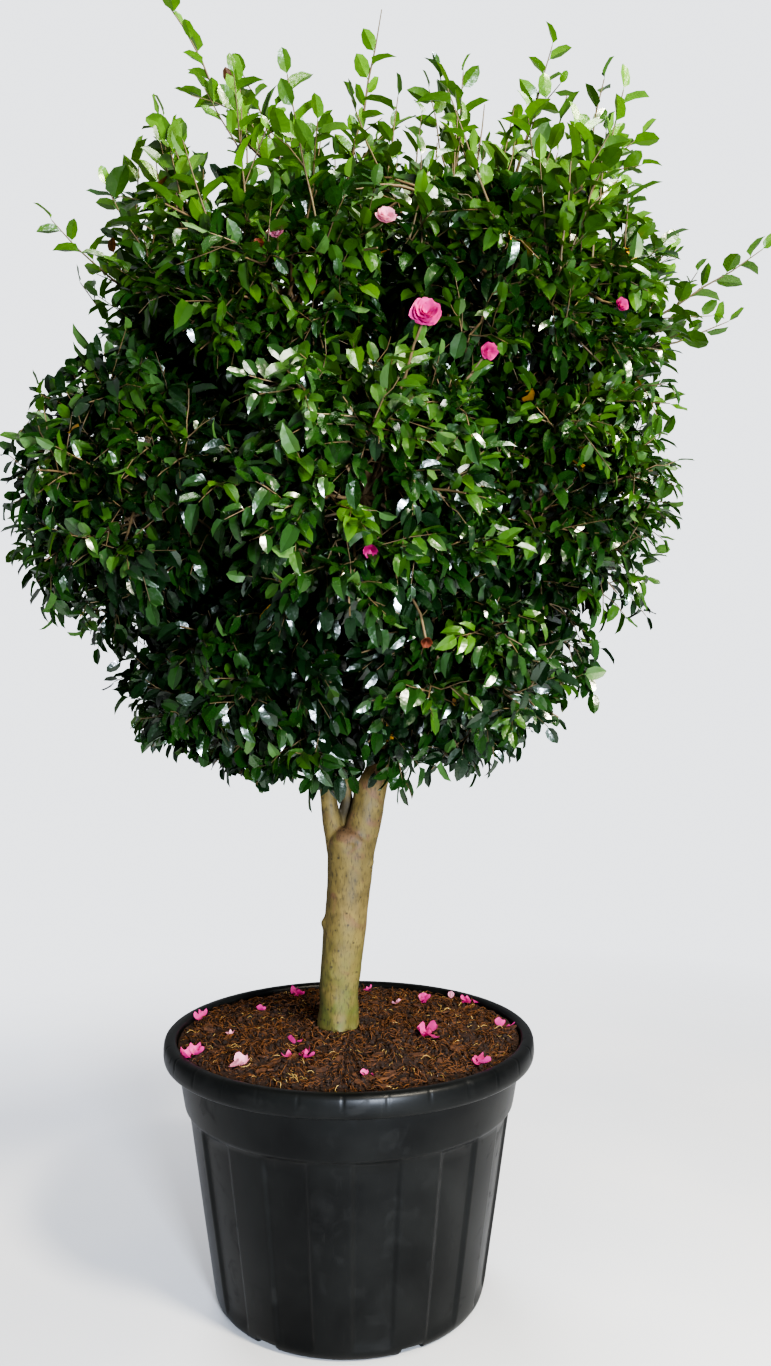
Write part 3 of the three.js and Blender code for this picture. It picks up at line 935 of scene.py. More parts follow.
@dataclass
class PottingMix:
    """Loose red-brown mix of coir, bark and straw, domed a little, with what has fallen on it."""

    edge_radius: float = 0.3160
    edge_height: float = 0.4670
    middle_height: float = 0.4830
    sides: int = 360
    ring_step: float = 3.2 * MM
    clod: float = 8.0 * MM
    seed: int = 61
    chip_outline: tuple[tuple[float, float], ...] = (
        (-0.5, -0.1), (-0.2, -0.22), (0.3, -0.2), (0.5, 0.0), (0.25, 0.2), (-0.3, 0.17),
    )
    litter: tuple[Litter, ...] = (
        Litter("peat_crumbs", Bit.CRUMB, MixFinish("damp peat crumbs", "#120904", "#2c190b", 4.0),
               3000, 3.5 * MM, 11.0 * MM, False, 0.15),
        Litter("coir_fibres", Bit.STRAND, MixFinish("coir fibre", "#381e0b", "#694118", 5.0),
               3000, 14.0 * MM, 40.0 * MM, True, 0.06),
        Litter("bark_chips", Bit.CHIP, MixFinish("pine bark chips", "#26140a", "#4f2f14", 6.0),
               420, 9.0 * MM, 26.0 * MM, True, 0.1),
        Litter("straw_bits", Bit.STRAND, MixFinish("straw", "#8f7340", "#b49c62", 8.0),
               260, 10.0 * MM, 30.0 * MM, True, 0.1),
    )

    def level(self, x: float, y: float) -> float:
        """Height of the mix's surface.

        Args:
            x: Place across.
            y: Place along.

        Returns:
            Height above the floor.
        """
        share = min(1.0, math.hypot(x, y) / self.edge_radius)
        base = self.middle_height + (self.edge_height - self.middle_height) * share**2
        coarse = noise.noise(Vector((x, y, 0.0)) * per_metre(42.0))
        fine = noise.noise(Vector((x, y, 4.0)) * per_metre(13.0))
        grit = noise.noise(Vector((x, y, 9.0)) * per_metre(5.0))
        return base + self.clod * (0.45 * coarse + 0.35 * fine + 0.2 * grit) - 1.2 * MM

    def surface(self) -> None:
        """Builds the clodded surface, closed by the pot's wall at its edge."""
        rings = int(self.edge_radius / self.ring_step)
        sides = self.sides
        vertices = [Vector((0.0, 0.0, self.level(0.0, 0.0)))]
        for ring in range(1, rings + 1):
            radius = self.edge_radius * ring / rings
            for side in range(sides):
                turn = FULL_TURN * side / sides
                x, y = radius * math.cos(turn), radius * math.sin(turn)
                vertices.append(Vector((x, y, self.level(x, y))))
        faces = [(0, 1 + side, 1 + (side + 1) % sides) for side in range(sides)]
        faces += ring_faces(1, sides, rings, True)
        bed = smooth(mesh_object("potting_mix", vertices, faces))
        bed.data.materials.append(MixFinish("moist coir and peat", "#150b06", "#331d0d", 9.0).material())
        put_on(bed, "soil", "soil")

    def crumb(self, name: str, rng: Random) -> Obj:
        """A knobbly crumb, one unit across.

        Args:
            name: Name of the shape.
            rng: Seeded random numbers.

        Returns:
            The shape.
        """
        ball = bmesh.new()
        bmesh.ops.create_icosphere(ball, subdivisions=1, radius=0.5)
        for vertex in ball.verts:
            vertex.co *= rng.uniform(0.65, 1.25)
            vertex.co.z *= 0.75
        shape = mesh_object(name, [], [])
        ball.to_mesh(shape.data)
        ball.free()
        return smooth(shape)

    def strand(self, name: str, rng: Random) -> Obj:
        """A bent strand of three sides, one unit long.

        Args:
            name: Name of the shape.
            rng: Seeded random numbers.

        Returns:
            The shape.
        """
        bend = rng.uniform(0.1, 0.3)
        twist = rng.uniform(-0.15, 0.15)
        steps, sides, half = 6, 3, 0.028
        vertices = []
        for step in range(steps + 1):
            share = step / steps
            y, z = bend * math.sin(math.pi * share), twist * math.sin(2.5 * math.pi * share)
            middle = Vector((share - 0.5, y, z))
            for corner in range(sides):
                turn = FULL_TURN * corner / sides
                vertices.append(middle + Vector((0.0, math.cos(turn), math.sin(turn))) * half)
        last = sides * steps
        faces = [(0, 2, 1), (last, last + 1, last + 2)]
        return smooth(mesh_object(name, vertices, faces + ring_faces(0, sides, steps + 1)))

    def chip(self, name: str, rng: Random) -> Obj:
        """A flat splintered bark chip, one unit long.

        Args:
            name: Name of the shape.
            rng: Seeded random numbers.

        Returns:
            The shape.
        """
        outline = [(x + rng.uniform(-0.06, 0.06), y + rng.uniform(-0.05, 0.05)) for x, y in self.chip_outline]
        vertices = [Vector((x, y, side * 0.07)) for side in (-1, 1) for x, y in outline]
        return closed_skin(name, vertices, len(outline))

    def scatter(self, litter: Litter, shapes: Sequence[Obj], tool: SpraySetter) -> None:
        """Strews one kind of litter over the mix.

        Args:
            litter: What is strewn.
            shapes: Source shapes.
            tool: Group that sets them.
        """
        rng = Random(self.seed + litter.count)
        points = SetPoints()
        while len(points.places) < litter.count:
            radius = self.edge_radius * math.sqrt(rng.random()) * 0.985
            turn = FULL_TURN * rng.random()
            x, y = radius * math.cos(turn), radius * math.sin(turn)
            size = litter.smallest + (litter.largest - litter.smallest) * rng.random() ** 2
            near_stem = math.hypot(x + 0.020, y) < 0.036 + 0.3 * size
            if near_stem or radius + size / 2 > self.edge_radius:
                continue
            tumble = random_turn(rng)
            if litter.lies:
                tumble = Quaternion((0, 0, 1), turn * 7.0) @ Quaternion((1, 0, 0), rng.gauss(0.0, 0.35))
                tumble = tumble @ Quaternion((0, 1, 0), rng.gauss(0.0, 0.16))
            place = Vector((x, y, self.level(x, y) + litter.rise * size))
            points.put(place, tumble, size, rng.randrange(len(shapes)))
        group = collection_of(litter.name + "_shapes", shapes)
        made = points.set_shapes(litter.name, tool, group, litter.finish.material(), 0.2, self.seed)
        discard(group)
        put_on(made, "soil")

    def build(self, tool: SpraySetter) -> None:
        """Builds the mix and everything strewn in it.

        Args:
            tool: Group that sets small shapes.
        """
        rng = Random(self.seed)
        self.surface()
        makers = {Bit.CRUMB: self.crumb, Bit.STRAND: self.strand, Bit.CHIP: self.chip}
        for litter in self.litter:
            shapes = [makers[litter.bit](f"{litter.bit.value}_{number}", rng) for number in range(3)]
            self.scatter(litter, shapes, tool)


# ---- Limbs and the crown's layout: the rule of the solids, in metres ----


def smooth_route(points: Sequence[Vector], steps: int) -> list[Vector]:
    """Centripetal Catmull-Rom curve through points.

    Args:
        points: Points it passes.
        steps: Steps from each point to the next.

    Returns:
        The points along the curve.
    """
    padded = [points[0] * 2.0 - points[1], *points, points[-1] * 2.0 - points[-2]]
    route = [points[0].copy()]
    for a, b, c, d in zip(padded, padded[1:], padded[2:], padded[3:]):
        knots = [0.0]
        for near, far in ((a, b), (b, c), (c, d)):
            knots.append(knots[-1] + max(1e-6, math.sqrt((far - near).length)))
        t0, t1, t2, t3 = knots
        for step in range(1, steps + 1):
            t = t1 + (t2 - t1) * step / steps
            ab = a.lerp(b, (t - t0) / (t1 - t0))
            bc = b.lerp(c, (t - t1) / (t2 - t1))
            cd = c.lerp(d, (t - t2) / (t3 - t2))
            abc = ab.lerp(bc, (t - t0) / (t2 - t0))
            bcd = bc.lerp(cd, (t - t1) / (t3 - t1))
            route.append(abc.lerp(bcd, (t - t1) / (t2 - t1)))
    return route


def spread_radii(radii: Sequence[float], steps: int) -> list[float]:
    """Radii along a route of smooth_route, straight from one given radius to the next.

    Args:
        radii: Radius at each given point.
        steps: Steps from each point to the next.

    Returns:
        One radius for each point of the route.
    """
    spread = [radii[0]]
    for low, high in zip(radii, radii[1:]):
        spread += [low + (high - low) * step / steps for step in range(1, steps + 1)]
    return spread


@dataclass(frozen=True)
class Tier:
    """One ring of foliage masses."""

    name: str
    count: int
    x: float
    z: float
    ring: float
    reach: float
    turn: float
    hang: float
    bough: float
    rise: float


@dataclass
class Mass:
    """One mass of foliage: its centre, its reach and the bough that carries it."""

    tier: Tier
    index: int
    centre: Vector
    reach: float
    outward: Vector
    route: list[Vector] = field(default_factory=list)
    radii: list[float] = field(default_factory=list)

    @property
    def name(self) -> str:
        """Name of the mass, as its solids have it."""
        return f"{self.tier.name}_{self.index + 1}"


@dataclass
class Frame:
    """The plant's woody frame and the layout of its crown."""

    tiers: tuple[Tier, ...] = (
        Tier("skirt", 5, 0.005, 1.176, 0.236, 0.222, -126.0, -0.5, 0.009, 0.4),
        Tier("belly", 6, -0.022, 1.432, 0.392, 0.252, -82.0, -0.25, 0.0095, 0.36),
        Tier("shoulder", 5, 0.075, 1.772, 0.335, 0.248, -124.0, 0.2, 0.008, 0.7),
        Tier("top", 3, 0.125, 1.990, 0.185, 0.190, -88.0, 0.45, 0.007, 1.1),
    )
    heart: Vector = field(default_factory=lambda: Vector((0.020, 0.0, 1.404)))
    trunk: tuple[Triple, ...] = (
        (-0.021, 0.470, 0.0400), (-0.021, 0.486, 0.0375), (-0.020, 0.510, 0.0360), (-0.020, 0.546, 0.0364),
        (-0.016, 0.597, 0.0382), (-0.011, 0.647, 0.0396), (-0.004, 0.717, 0.0400), (0.001, 0.784, 0.0430),
        (0.002, 0.830, 0.0440), (0.001, 0.846, 0.0360), (0.000, 0.856, 0.0240),
    )
    leaders: tuple[tuple[str, tuple[tuple[float, float, float, float], ...]], ...] = (
        ("left", (
            (-0.017, 0.0, 0.799, 0.024), (-0.035, 0.0, 0.877, 0.0166), (-0.041, 0.0, 0.918, 0.015),
            (-0.056, 0.010, 1.004, 0.0135), (-0.092, 0.034, 1.154, 0.012), (-0.120, 0.060, 1.324, 0.010),
            (-0.128, 0.070, 1.474, 0.008),
        )),
        ("right", (
            (0.008, 0.0, 0.799, 0.035), (0.031, 0.0, 0.882, 0.031), (0.038, 0.0, 0.918, 0.030),
            (0.056, -0.004, 0.966, 0.023), (0.078, -0.014, 1.024, 0.017), (0.092, -0.022, 1.144, 0.015),
            (0.078, -0.012, 1.324, 0.013), (0.060, 0.0, 1.504, 0.011), (0.064, 0.005, 1.664, 0.0085),
        )),
    )
    stagger: tuple[float, ...] = (0.036, -0.036, 0.0)
    bough_bow: float = 0.09
    bough_taper: Triple = (1.0, 0.8, 0.62)
    entry: float = 0.74
    longest_entry: float = 0.5
    lowest_start: float = 0.984
    height_wave: float = 0.022
    reach_wave: float = 0.03
    route_steps: int = 8
    masses: list[Mass] = field(default_factory=list)

    def lay_out(self) -> None:
        """Places every mass and the bough that runs to it."""
        for tier in self.tiers:
            for index in range(tier.count):
                turn = math.radians(tier.turn + 360.0 / tier.count * index)
                wave = 1.0 if index % 2 else -1.0
                x, y = tier.x + tier.ring * math.cos(turn), tier.ring * math.sin(turn)
                centre = Vector((x, y, tier.z + self.height_wave * wave))
                reach = tier.reach * (1.0 + self.reach_wave * wave)
                mass = Mass(tier, index, centre, reach, (centre - self.heart).normalized())
                self.lay_bough(mass)
                self.masses.append(mass)

    def leader_point(self, sections: Sequence[tuple[float, ...]], height: float) -> Vector:
        """Point on a leader's axis at a height.

        Args:
            sections: The leader's sections.
            height: Height above the floor.

        Returns:
            The point.
        """
        upper = next((at for at, section in enumerate(sections) if section[2] > height), len(sections) - 1)
        low = sections[max(0, upper - 1)]
        high = sections[upper]
        share = min(1.0, max(0.0, (height - low[2]) / (high[2] - low[2])))
        return Vector(low[:3]).lerp(Vector(high[:3]), share)

    def lay_bough(self, mass: Mass) -> None:
        """Runs a bough from the nearer leader up into a mass.

        Args:
            mass: Mass that the bough carries.
        """
        flat = math.hypot(mass.centre.x, mass.centre.y)
        height = mass.tier.z - mass.tier.rise * flat + self.stagger[mass.index % len(self.stagger)]
        starts = []
        for _, sections in self.leaders:
            top = sections[-1][2] - 0.020
            starts.append(self.leader_point(sections, min(top, max(self.lowest_start, height))))
        start = min(starts, key=lambda point: (point - mass.centre).length)
        inward = start - mass.centre
        entry = min(self.entry * mass.reach, self.longest_entry * inward.length)
        tip = mass.centre + inward.normalized() * entry
        middle = start.lerp(tip, 0.5) - UP * (self.bough_bow * (tip - start).length)
        mass.route = [start, middle, tip]
        mass.radii = [mass.tier.bough * share for share in self.bough_taper]

    def limbs(self) -> list[tuple[list[Vector], list[float]]]:
        """Every limb above the trunk as a fine route with its radii.

        Returns:
            Routes and radii of the leaders, then of the boughs.
        """
        steps = self.route_steps
        given = [([Vector(at[:3]) for at in rows], [at[3] for at in rows]) for _, rows in self.leaders]
        given += [(mass.route, mass.radii) for mass in self.masses]
        return [(smooth_route(points, steps), spread_radii(radii, steps)) for points, radii in given]


@dataclass(frozen=True)
class Outline:
    """The crown's ragged outline: how far its ordinary twigs reach at each height."""

    heights: tuple[float, ...] = (0.90, 1.00, 1.09, 1.20, 1.40, 1.56, 1.66, 1.80, 1.97, 2.08, 2.16, 2.22)
    middles: tuple[float, ...] = (0.03, -0.01, 0.01, -0.04, -0.03, 0.00, 0.05, 0.05, 0.08, 0.12, 0.16, 0.20)
    reaches: tuple[float, ...] = (0.14, 0.40, 0.48, 0.58, 0.62, 0.61, 0.55, 0.54, 0.57, 0.54, 0.46, 0.30)
    crest: float = 2.08
    new_crest: float = 2.28
    fall: float = 0.50
    lump: float = 0.045
    hem_flat: float = 0.15
    hem_slope: float = 0.42

    def inside(self, points: np.ndarray) -> bool:
        """Whether points lie inside the outline and under its crest, which falls away to front and back.

        Args:
            points: Points, one a row.

        Returns:
            True if all of them do.
        """
        height = points[:, 2]
        across = points[:, 0] - np.interp(height, self.heights, self.middles)
        bearing = np.arctan2(points[:, 1], across)
        lumps = np.sin(3.0 * bearing + 5.0 * height) + 0.6 * np.sin(7.0 * bearing - 9.0 * height)
        reach = np.interp(height, self.heights, self.reaches) * (1.0 + self.lump * lumps)
        under = height < self.crest - self.fall * np.abs(points[:, 1])
        return bool((under & (np.hypot(across, points[:, 1]) < reach)).all())

    def above_hem(self, points: np.ndarray) -> bool:
        """Whether points lie above the crown's hem, which rises away from the trunk.

        Args:
            points: Points, one a row.

        Returns:
            True if all of them do.
        """
        away = np.hypot(points[:, 0] - self.middles[0], points[:, 1]) - self.hem_flat
        return bool((points[:, 2] > LOWEST_LEAF + self.hem_slope * np.maximum(away, 0.0)).all())


class Space:
    """The room that each mass keeps to: its own cell, clear of every limb, inside the solids' box."""

    def __init__(self, wood: Frame) -> None:
        """Gathers centres, reaches and the limbs' axes.

        Args:
            wood: Woody frame with its masses laid out.
        """
        self.centres = np.array([tuple(mass.centre) for mass in wood.masses])
        self.weights = np.array([mass.reach**2 for mass in wood.masses])
        axes = []
        for route, radii in wood.limbs():
            for start, end, radius in zip(route, route[1:], radii):
                axes.append((*start, *end, radius))
        table = np.array(axes)
        self.starts = table[:, 0:3]
        self.spans = table[:, 3:6] - self.starts
        self.lengths = (self.spans**2).sum(axis=1)
        self.radii = table[:, 6]
        low, high = CAD_BOX
        self.low = np.array(low)
        self.high = np.array(high)
        self.outline = Outline()

    def room(self, points: np.ndarray, own: int) -> np.ndarray:
        """How far points lie inside a mass's own cell.

        Args:
            points: Points, one a row.
            own: Number of the mass.

        Returns:
            Distance to the nearest wall of the cell, negative outside it.
        """
        power = ((points[:, None, :] - self.centres[None, :, :]) ** 2).sum(axis=2) - self.weights
        apart = np.linalg.norm(self.centres - self.centres[own], axis=1)
        apart[own] = np.inf
        walls = (power - power[:, own : own + 1]) / (2.0 * apart)
        walls[:, own] = np.inf
        return walls.min(axis=1)

    def owner(self, point: Vector) -> int:
        """Number of the mass whose cell holds a point."""
        return int(np.argmin(((self.centres - np.array(point)) ** 2).sum(axis=1) - self.weights))

    def clear(self, points: np.ndarray, gap: float) -> np.ndarray:
        """Which points keep clear of every limb.

        Args:
            points: Points, one a row.
            gap: Distance to keep from the limbs' skin.

        Returns:
            One truth value a point.
        """
        away = points[:, None, :] - self.starts[None, :, :]
        share = np.clip((away * self.spans).sum(axis=2) / self.lengths, 0.0, 1.0)
        nearest = away - share[:, :, None] * self.spans
        return (np.linalg.norm(nearest, axis=2) > self.radii + gap).all(axis=1)

    def holds(self, points: Sequence[Vector], own: int, room: tuple[float, float], shaped: bool) -> bool:
        """Whether every point lies in the cell and the box and clear of the limbs.

        Args:
            points: Points to test.
            own: Number of the mass.
            room: Distances to keep from the cell's walls and from limbs.
            shaped: Whether they also keep inside the crown's outline.

        Returns:
            True if all of them do.
        """
        table = np.array([tuple(point) for point in points])
        if (table < self.low).any() or (table > self.high).any() or not self.outline.above_hem(table):
            return False
        if shaped and not self.outline.inside(table):
            return False
        return bool((self.room(table, own) > room[0]).all() and self.clear(table, room[1]).all())


@dataclass
class Bark:
    """The skin of trunk, leaders and boughs: grown together, with knots, scars and fine relief."""

    wood: Frame
    sides: int = 40
    voxel: float = 2.4 * MM
    lobes: int = 4
    web: tuple[tuple[float, float, float, float], ...] = (
        (-0.008, 0.006, 0.800, 0.024), (-0.010, 0.012, 0.840, 0.020), (-0.008, 0.016, 0.875, 0.015),
        (-0.006, 0.020, 0.910, 0.011), (-0.004, 0.024, 0.960, 0.006),
    )
    waves: tuple[Triple, ...] = (
        (34.0, 1.0, 1.3 * MM), (11.0, 0.35, 0.7 * MM), (4.5, 0.35, 0.3 * MM),
    )
    lobe_depth: float = 0.08
    lobe_top: float = 0.540
    soil: float = 0.482
    knots: tuple[tuple[float, float, float, float, float], ...] = (
        (-0.047, -0.006, 0.676, 0.016, 0.006),
        (0.040, -0.018, 0.792, 0.014, 0.005),
        (0.004, -0.040, 0.824, 0.020, -0.007),
        (-0.030, -0.030, 0.584, 0.012, 0.003),
        (0.012, 0.040, 0.724, 0.015, 0.005),
        (0.052, -0.020, 0.898, 0.012, 0.004),
    )

    def tube(self, name: str, route: Sequence[Vector], radii: Sequence[float]) -> Obj:
        """A closed round limb.

        Args:
            name: Object name.
            route: Its axis.
            radii: Its radius at each point.

        Returns:
            The limb.
        """
        vertices: list[Vector] = []
        normal = (route[1] - route[0]).orthogonal().normalized()
        for at, (point, radius) in enumerate(zip(route, radii)):
            ahead = route[min(at + 1, len(route) - 1)] - route[max(at - 1, 0)]
            tangent = ahead.normalized()
            normal = (normal - tangent * normal.dot(tangent)).normalized()
            side_way = tangent.cross(normal)
            for side in range(self.sides):
                turn = FULL_TURN * side / self.sides
                vertices.append(point + (normal * math.cos(turn) + side_way * math.sin(turn)) * radius)
        return closed_skin(name, vertices, self.sides)

    def stem(self) -> Obj:
        """The trunk with its lobed root flare.

        Returns:
            The trunk as a closed mesh.
        """
        points = [Vector((x, 0.0, z)) for x, z, _ in self.wood.trunk]
        route = smooth_route(points, 4)
        radii = spread_radii([radius for _, _, radius in self.wood.trunk], 4)
        vertices = []
        for point, radius in zip(route, radii):
            flare = max(0.0, (self.lobe_top - point.z) / (self.lobe_top - self.soil))
            for side in range(self.sides):
                turn = FULL_TURN * side / self.sides
                reach = radius * (1.0 + self.lobe_depth * flare * math.cos(self.lobes * turn))
                vertices.append(point + around(reach, turn))
        return closed_skin("stem", vertices, self.sides)

    def joined(self) -> Obj:
        """Joins trunk and limbs and grows them together.

        Returns:
            One closed skin.
        """
        web = [Vector(place[:3]) for place in self.web]
        pieces = [self.stem(), self.tube("fork_web", web, [place[3] for place in self.web])]
        for number, (route, radii) in enumerate(self.wood.limbs()):
            if number >= len(self.wood.leaders):
                collar = [1.0 + 0.45 * max(0.0, 1.0 - at / 6.0) for at in range(len(radii))]
                radii = [radius * wide for radius, wide in zip(radii, collar)]
            pieces.append(self.tube(f"limb_{number}", route, radii))
        whole = bmesh.new()
        for piece in pieces:
            whole.from_mesh(piece.data)
            bpy.data.objects.remove(piece)
        made = mesh_object("bark", [], [])
        whole.to_mesh(made.data)
        whole.free()
        remesh = made.modifiers.new("grow_together", "REMESH")
        remesh.mode = "VOXEL"
        remesh.voxel_size = self.voxel
        even = made.modifiers.new("ease", "SMOOTH")
        even.factor = 0.5
        even.iterations = 6
        graph = bpy.context.evaluated_depsgraph_get()
        skin = bpy.data.meshes.new_from_object(made.evaluated_get(graph), depsgraph=graph)
        made.modifiers.clear()
        made.data = skin
        return made

    def relief(self, place: Vector) -> float:
        """Height of the bark's relief at a place.

        Args:
            place: Point on the skin.

        Returns:
            Distance to move it outwards.
        """
        height = 0.0
        for size_mm, stretch, depth in self.waves:
            height += depth * noise.noise(Vector((place.x, place.y, place.z * stretch)) * per_metre(size_mm))
        for x, y, z, size, rise in self.knots:
            near = (place - Vector((x, y, z))).length / size
            if near < 1.6:
                height += rise * math.exp(-2.6 * near * near)
        return height

    def build(self) -> None:
        """Builds and dresses the bark."""
        skin = self.joined()
        moved = []
        for vertex in skin.data.vertices:
            share = 1.0 - 0.8 * smoothstep(0.92, 1.12, vertex.co.z)
            moved.append(vertex.co + vertex.normal * (self.relief(vertex.co) * share))
        skin.data.vertices.foreach_set("co", np.array(moved, dtype=np.float32).ravel())
        skin.data.update()
        smooth(skin)
        skin.data.materials.clear()
        skin.data.materials.append(BarkFinish().material())
        names = ["trunk", "leader_left", "leader_right"]
        names += [f"bough_{mass.name}" for mass in self.wood.masses]
        put_on(skin, "bark", *names)


# ---- Leaves ----


class Tint(Enum):
    """The leaf colours on the plant, from the shaded inside to the newest shoots; the greens from deep to
    bright stand for painted light and shade as well as age.
    """

    # the deep to bright greens are painted light and shade: leaves low and inside the crown get the darker
    # ones, leaves high up and on the right the lighter ones
    DEEP = LeafFinish("shaded camellia leaf", "#11250f", "#1f4014", 0.26, 0.05, 0.5)
    DARK = LeafFinish("old camellia leaf", "#1c3711", "#31561a", 0.26, 0.07, 0.5)
    GREEN = LeafFinish("camellia leaf", "#2c4915", "#4c7222", 0.28, 0.08, 0.4)
    FRESH = LeafFinish("year-old camellia leaf", "#395817", "#638a28", 0.32, 0.06, 0.25)
    BRIGHT = LeafFinish("new camellia leaf", "#4b721e", "#7ea034", 0.34, 0.07, 0.15)
    PALE = LeafFinish("camellia leaf underside", "#3f5c2c", "#6f9440", 0.5, 0.12, 0.0)
    GOLD = LeafFinish("yellowing camellia leaf", "#b9861f", "#d8a83a", 0.45, 0.2)
    BRONZE = LeafFinish("bronze shoot tip", "#4a3018", "#6b4420", 0.4, 0.12)


@dataclass
class LeafBlade:
    """Source shapes of the leaf: elliptic, pointed, folded along the midrib and recurved."""

    stations: tuple[float, ...] = (0.0, 0.20, 0.52, 0.84, 1.0)
    widths: tuple[float, ...] = (0.0, 0.80, 1.0, 0.68, 0.0)
    stalk: float = 0.09
    kinds: tuple[tuple[float, float, float, float], ...] = (
        (0.58, 0.26, 0.24, 0.024),
        (0.62, 0.38, 0.46, 0.036),
        (0.54, 0.18, -0.14, 0.030),
        (0.60, 0.52, 0.62, 0.040),
        (0.52, 0.62, 0.34, 0.034),
    )

    def shape(self, number: int) -> Obj:
        """One leaf, one unit long, growing along +Y from its stalk's foot, facing +Z.

        Args:
            number: Which kind.

        Returns:
            The source shape.
        """
        width, fold, curl, wave = self.kinds[number]
        rows: list[tuple[Vector, Vector, Vector]] = []
        for at, (along, wide) in enumerate(zip(self.stations, self.widths)):
            reach = self.stalk + (1.0 - self.stalk) * along
            drop = -curl * reach**2
            half = 0.5 * width * wide
            lift = fold * half + wave * (1.0 if at % 2 else -1.0) * wide
            rows.append((
                Vector((-half, reach, drop + lift)),
                Vector((0.0, reach, drop)),
                Vector((half, reach, drop + lift + wave * wide * 0.6)),
            ))
        vertices: list[Vector] = []
        faces: list[Face] = []
        for side in (0, 2):
            first = len(vertices)
            for row in rows:
                vertices += [row[1], row[side]]
            for at in range(len(rows) - 1):
                mid, edge = first + 2 * at, first + 2 * at + 1
                next_mid, next_edge = mid + 2, edge + 2
                quad = (mid, next_mid, next_edge, edge) if side == 0 else (mid, edge, next_edge, next_mid)
                if at == 0:
                    quad = tuple(corner for corner in quad if corner != edge)
                elif at == len(rows) - 2:
                    quad = tuple(corner for corner in quad if corner != next_edge)
                faces.append(quad)
        foot = len(vertices)
        stem = 0.022
        top = self.stations[1] + self.stalk
        vertices += [Vector((-stem, 0.0, 0.0)), Vector((stem, 0.0, 0.0)), Vector((0.0, top, -0.01))]
        vertices += [Vector((0.0, 0.0, -stem))]
        faces += [(foot, foot + 3, foot + 2), (foot + 3, foot + 1, foot + 2)]
        made = mesh_object(f"leaf_{number}", vertices, faces)
        tidy = bmesh.new()
        tidy.from_mesh(made.data)
        loose = [vertex for vertex in tidy.verts if not vertex.link_faces]
        bmesh.ops.delete(tidy, geom=loose, context="VERTS")
        tidy.to_mesh(made.data)
        tidy.free()
        return smooth(made)

    def collection(self) -> Group:
        """All kinds of leaf as a collection."""
        return collection_of("leaf_shapes", [self.shape(number) for number in range(len(self.kinds))])


@dataclass
class Twig:
    """One twig as a chain of points, with its thickness at foot and tip."""

    points: list[Vector]
    thick: float
    thin: float
    young: bool = False


def scattered(rng: Random) -> Vector:
    """A random vector, each component with a spread of 1."""
    return Vector((rng.gauss(0, 1), rng.gauss(0, 1), rng.gauss(0, 1)))


def sideways(ahead: Vector, turn: float) -> Vector:
    """A unit vector square to a direction, turned round it."""
    away = ahead.orthogonal().normalized()
    away.rotate(Quaternion(ahead, turn))
    return away


def crooked(start: Vector, tip: Vector, lift: float, steps: int, wander: float, rng: Random) -> list[Vector]:
    """Chain of points of one twig, a little crooked.

    Args:
        start: Its foot.
        tip: Its tip.
        lift: How far its middle rises, as a share of its length.
        steps: Number of stretches.
        wander: Crookedness as a share of its length.
        rng: Seeded random numbers.

    Returns:
        The points.
    """
    length = (tip - start).length
    points = []
    for step in range(steps + 1):
        share = step / steps
        point = start.lerp(tip, share) + UP * (4.0 * share * (1.0 - share) * lift * length)
        if 0 < step < steps:
            point += scattered(rng) * (wander * length)
        points.append(point)
    return points


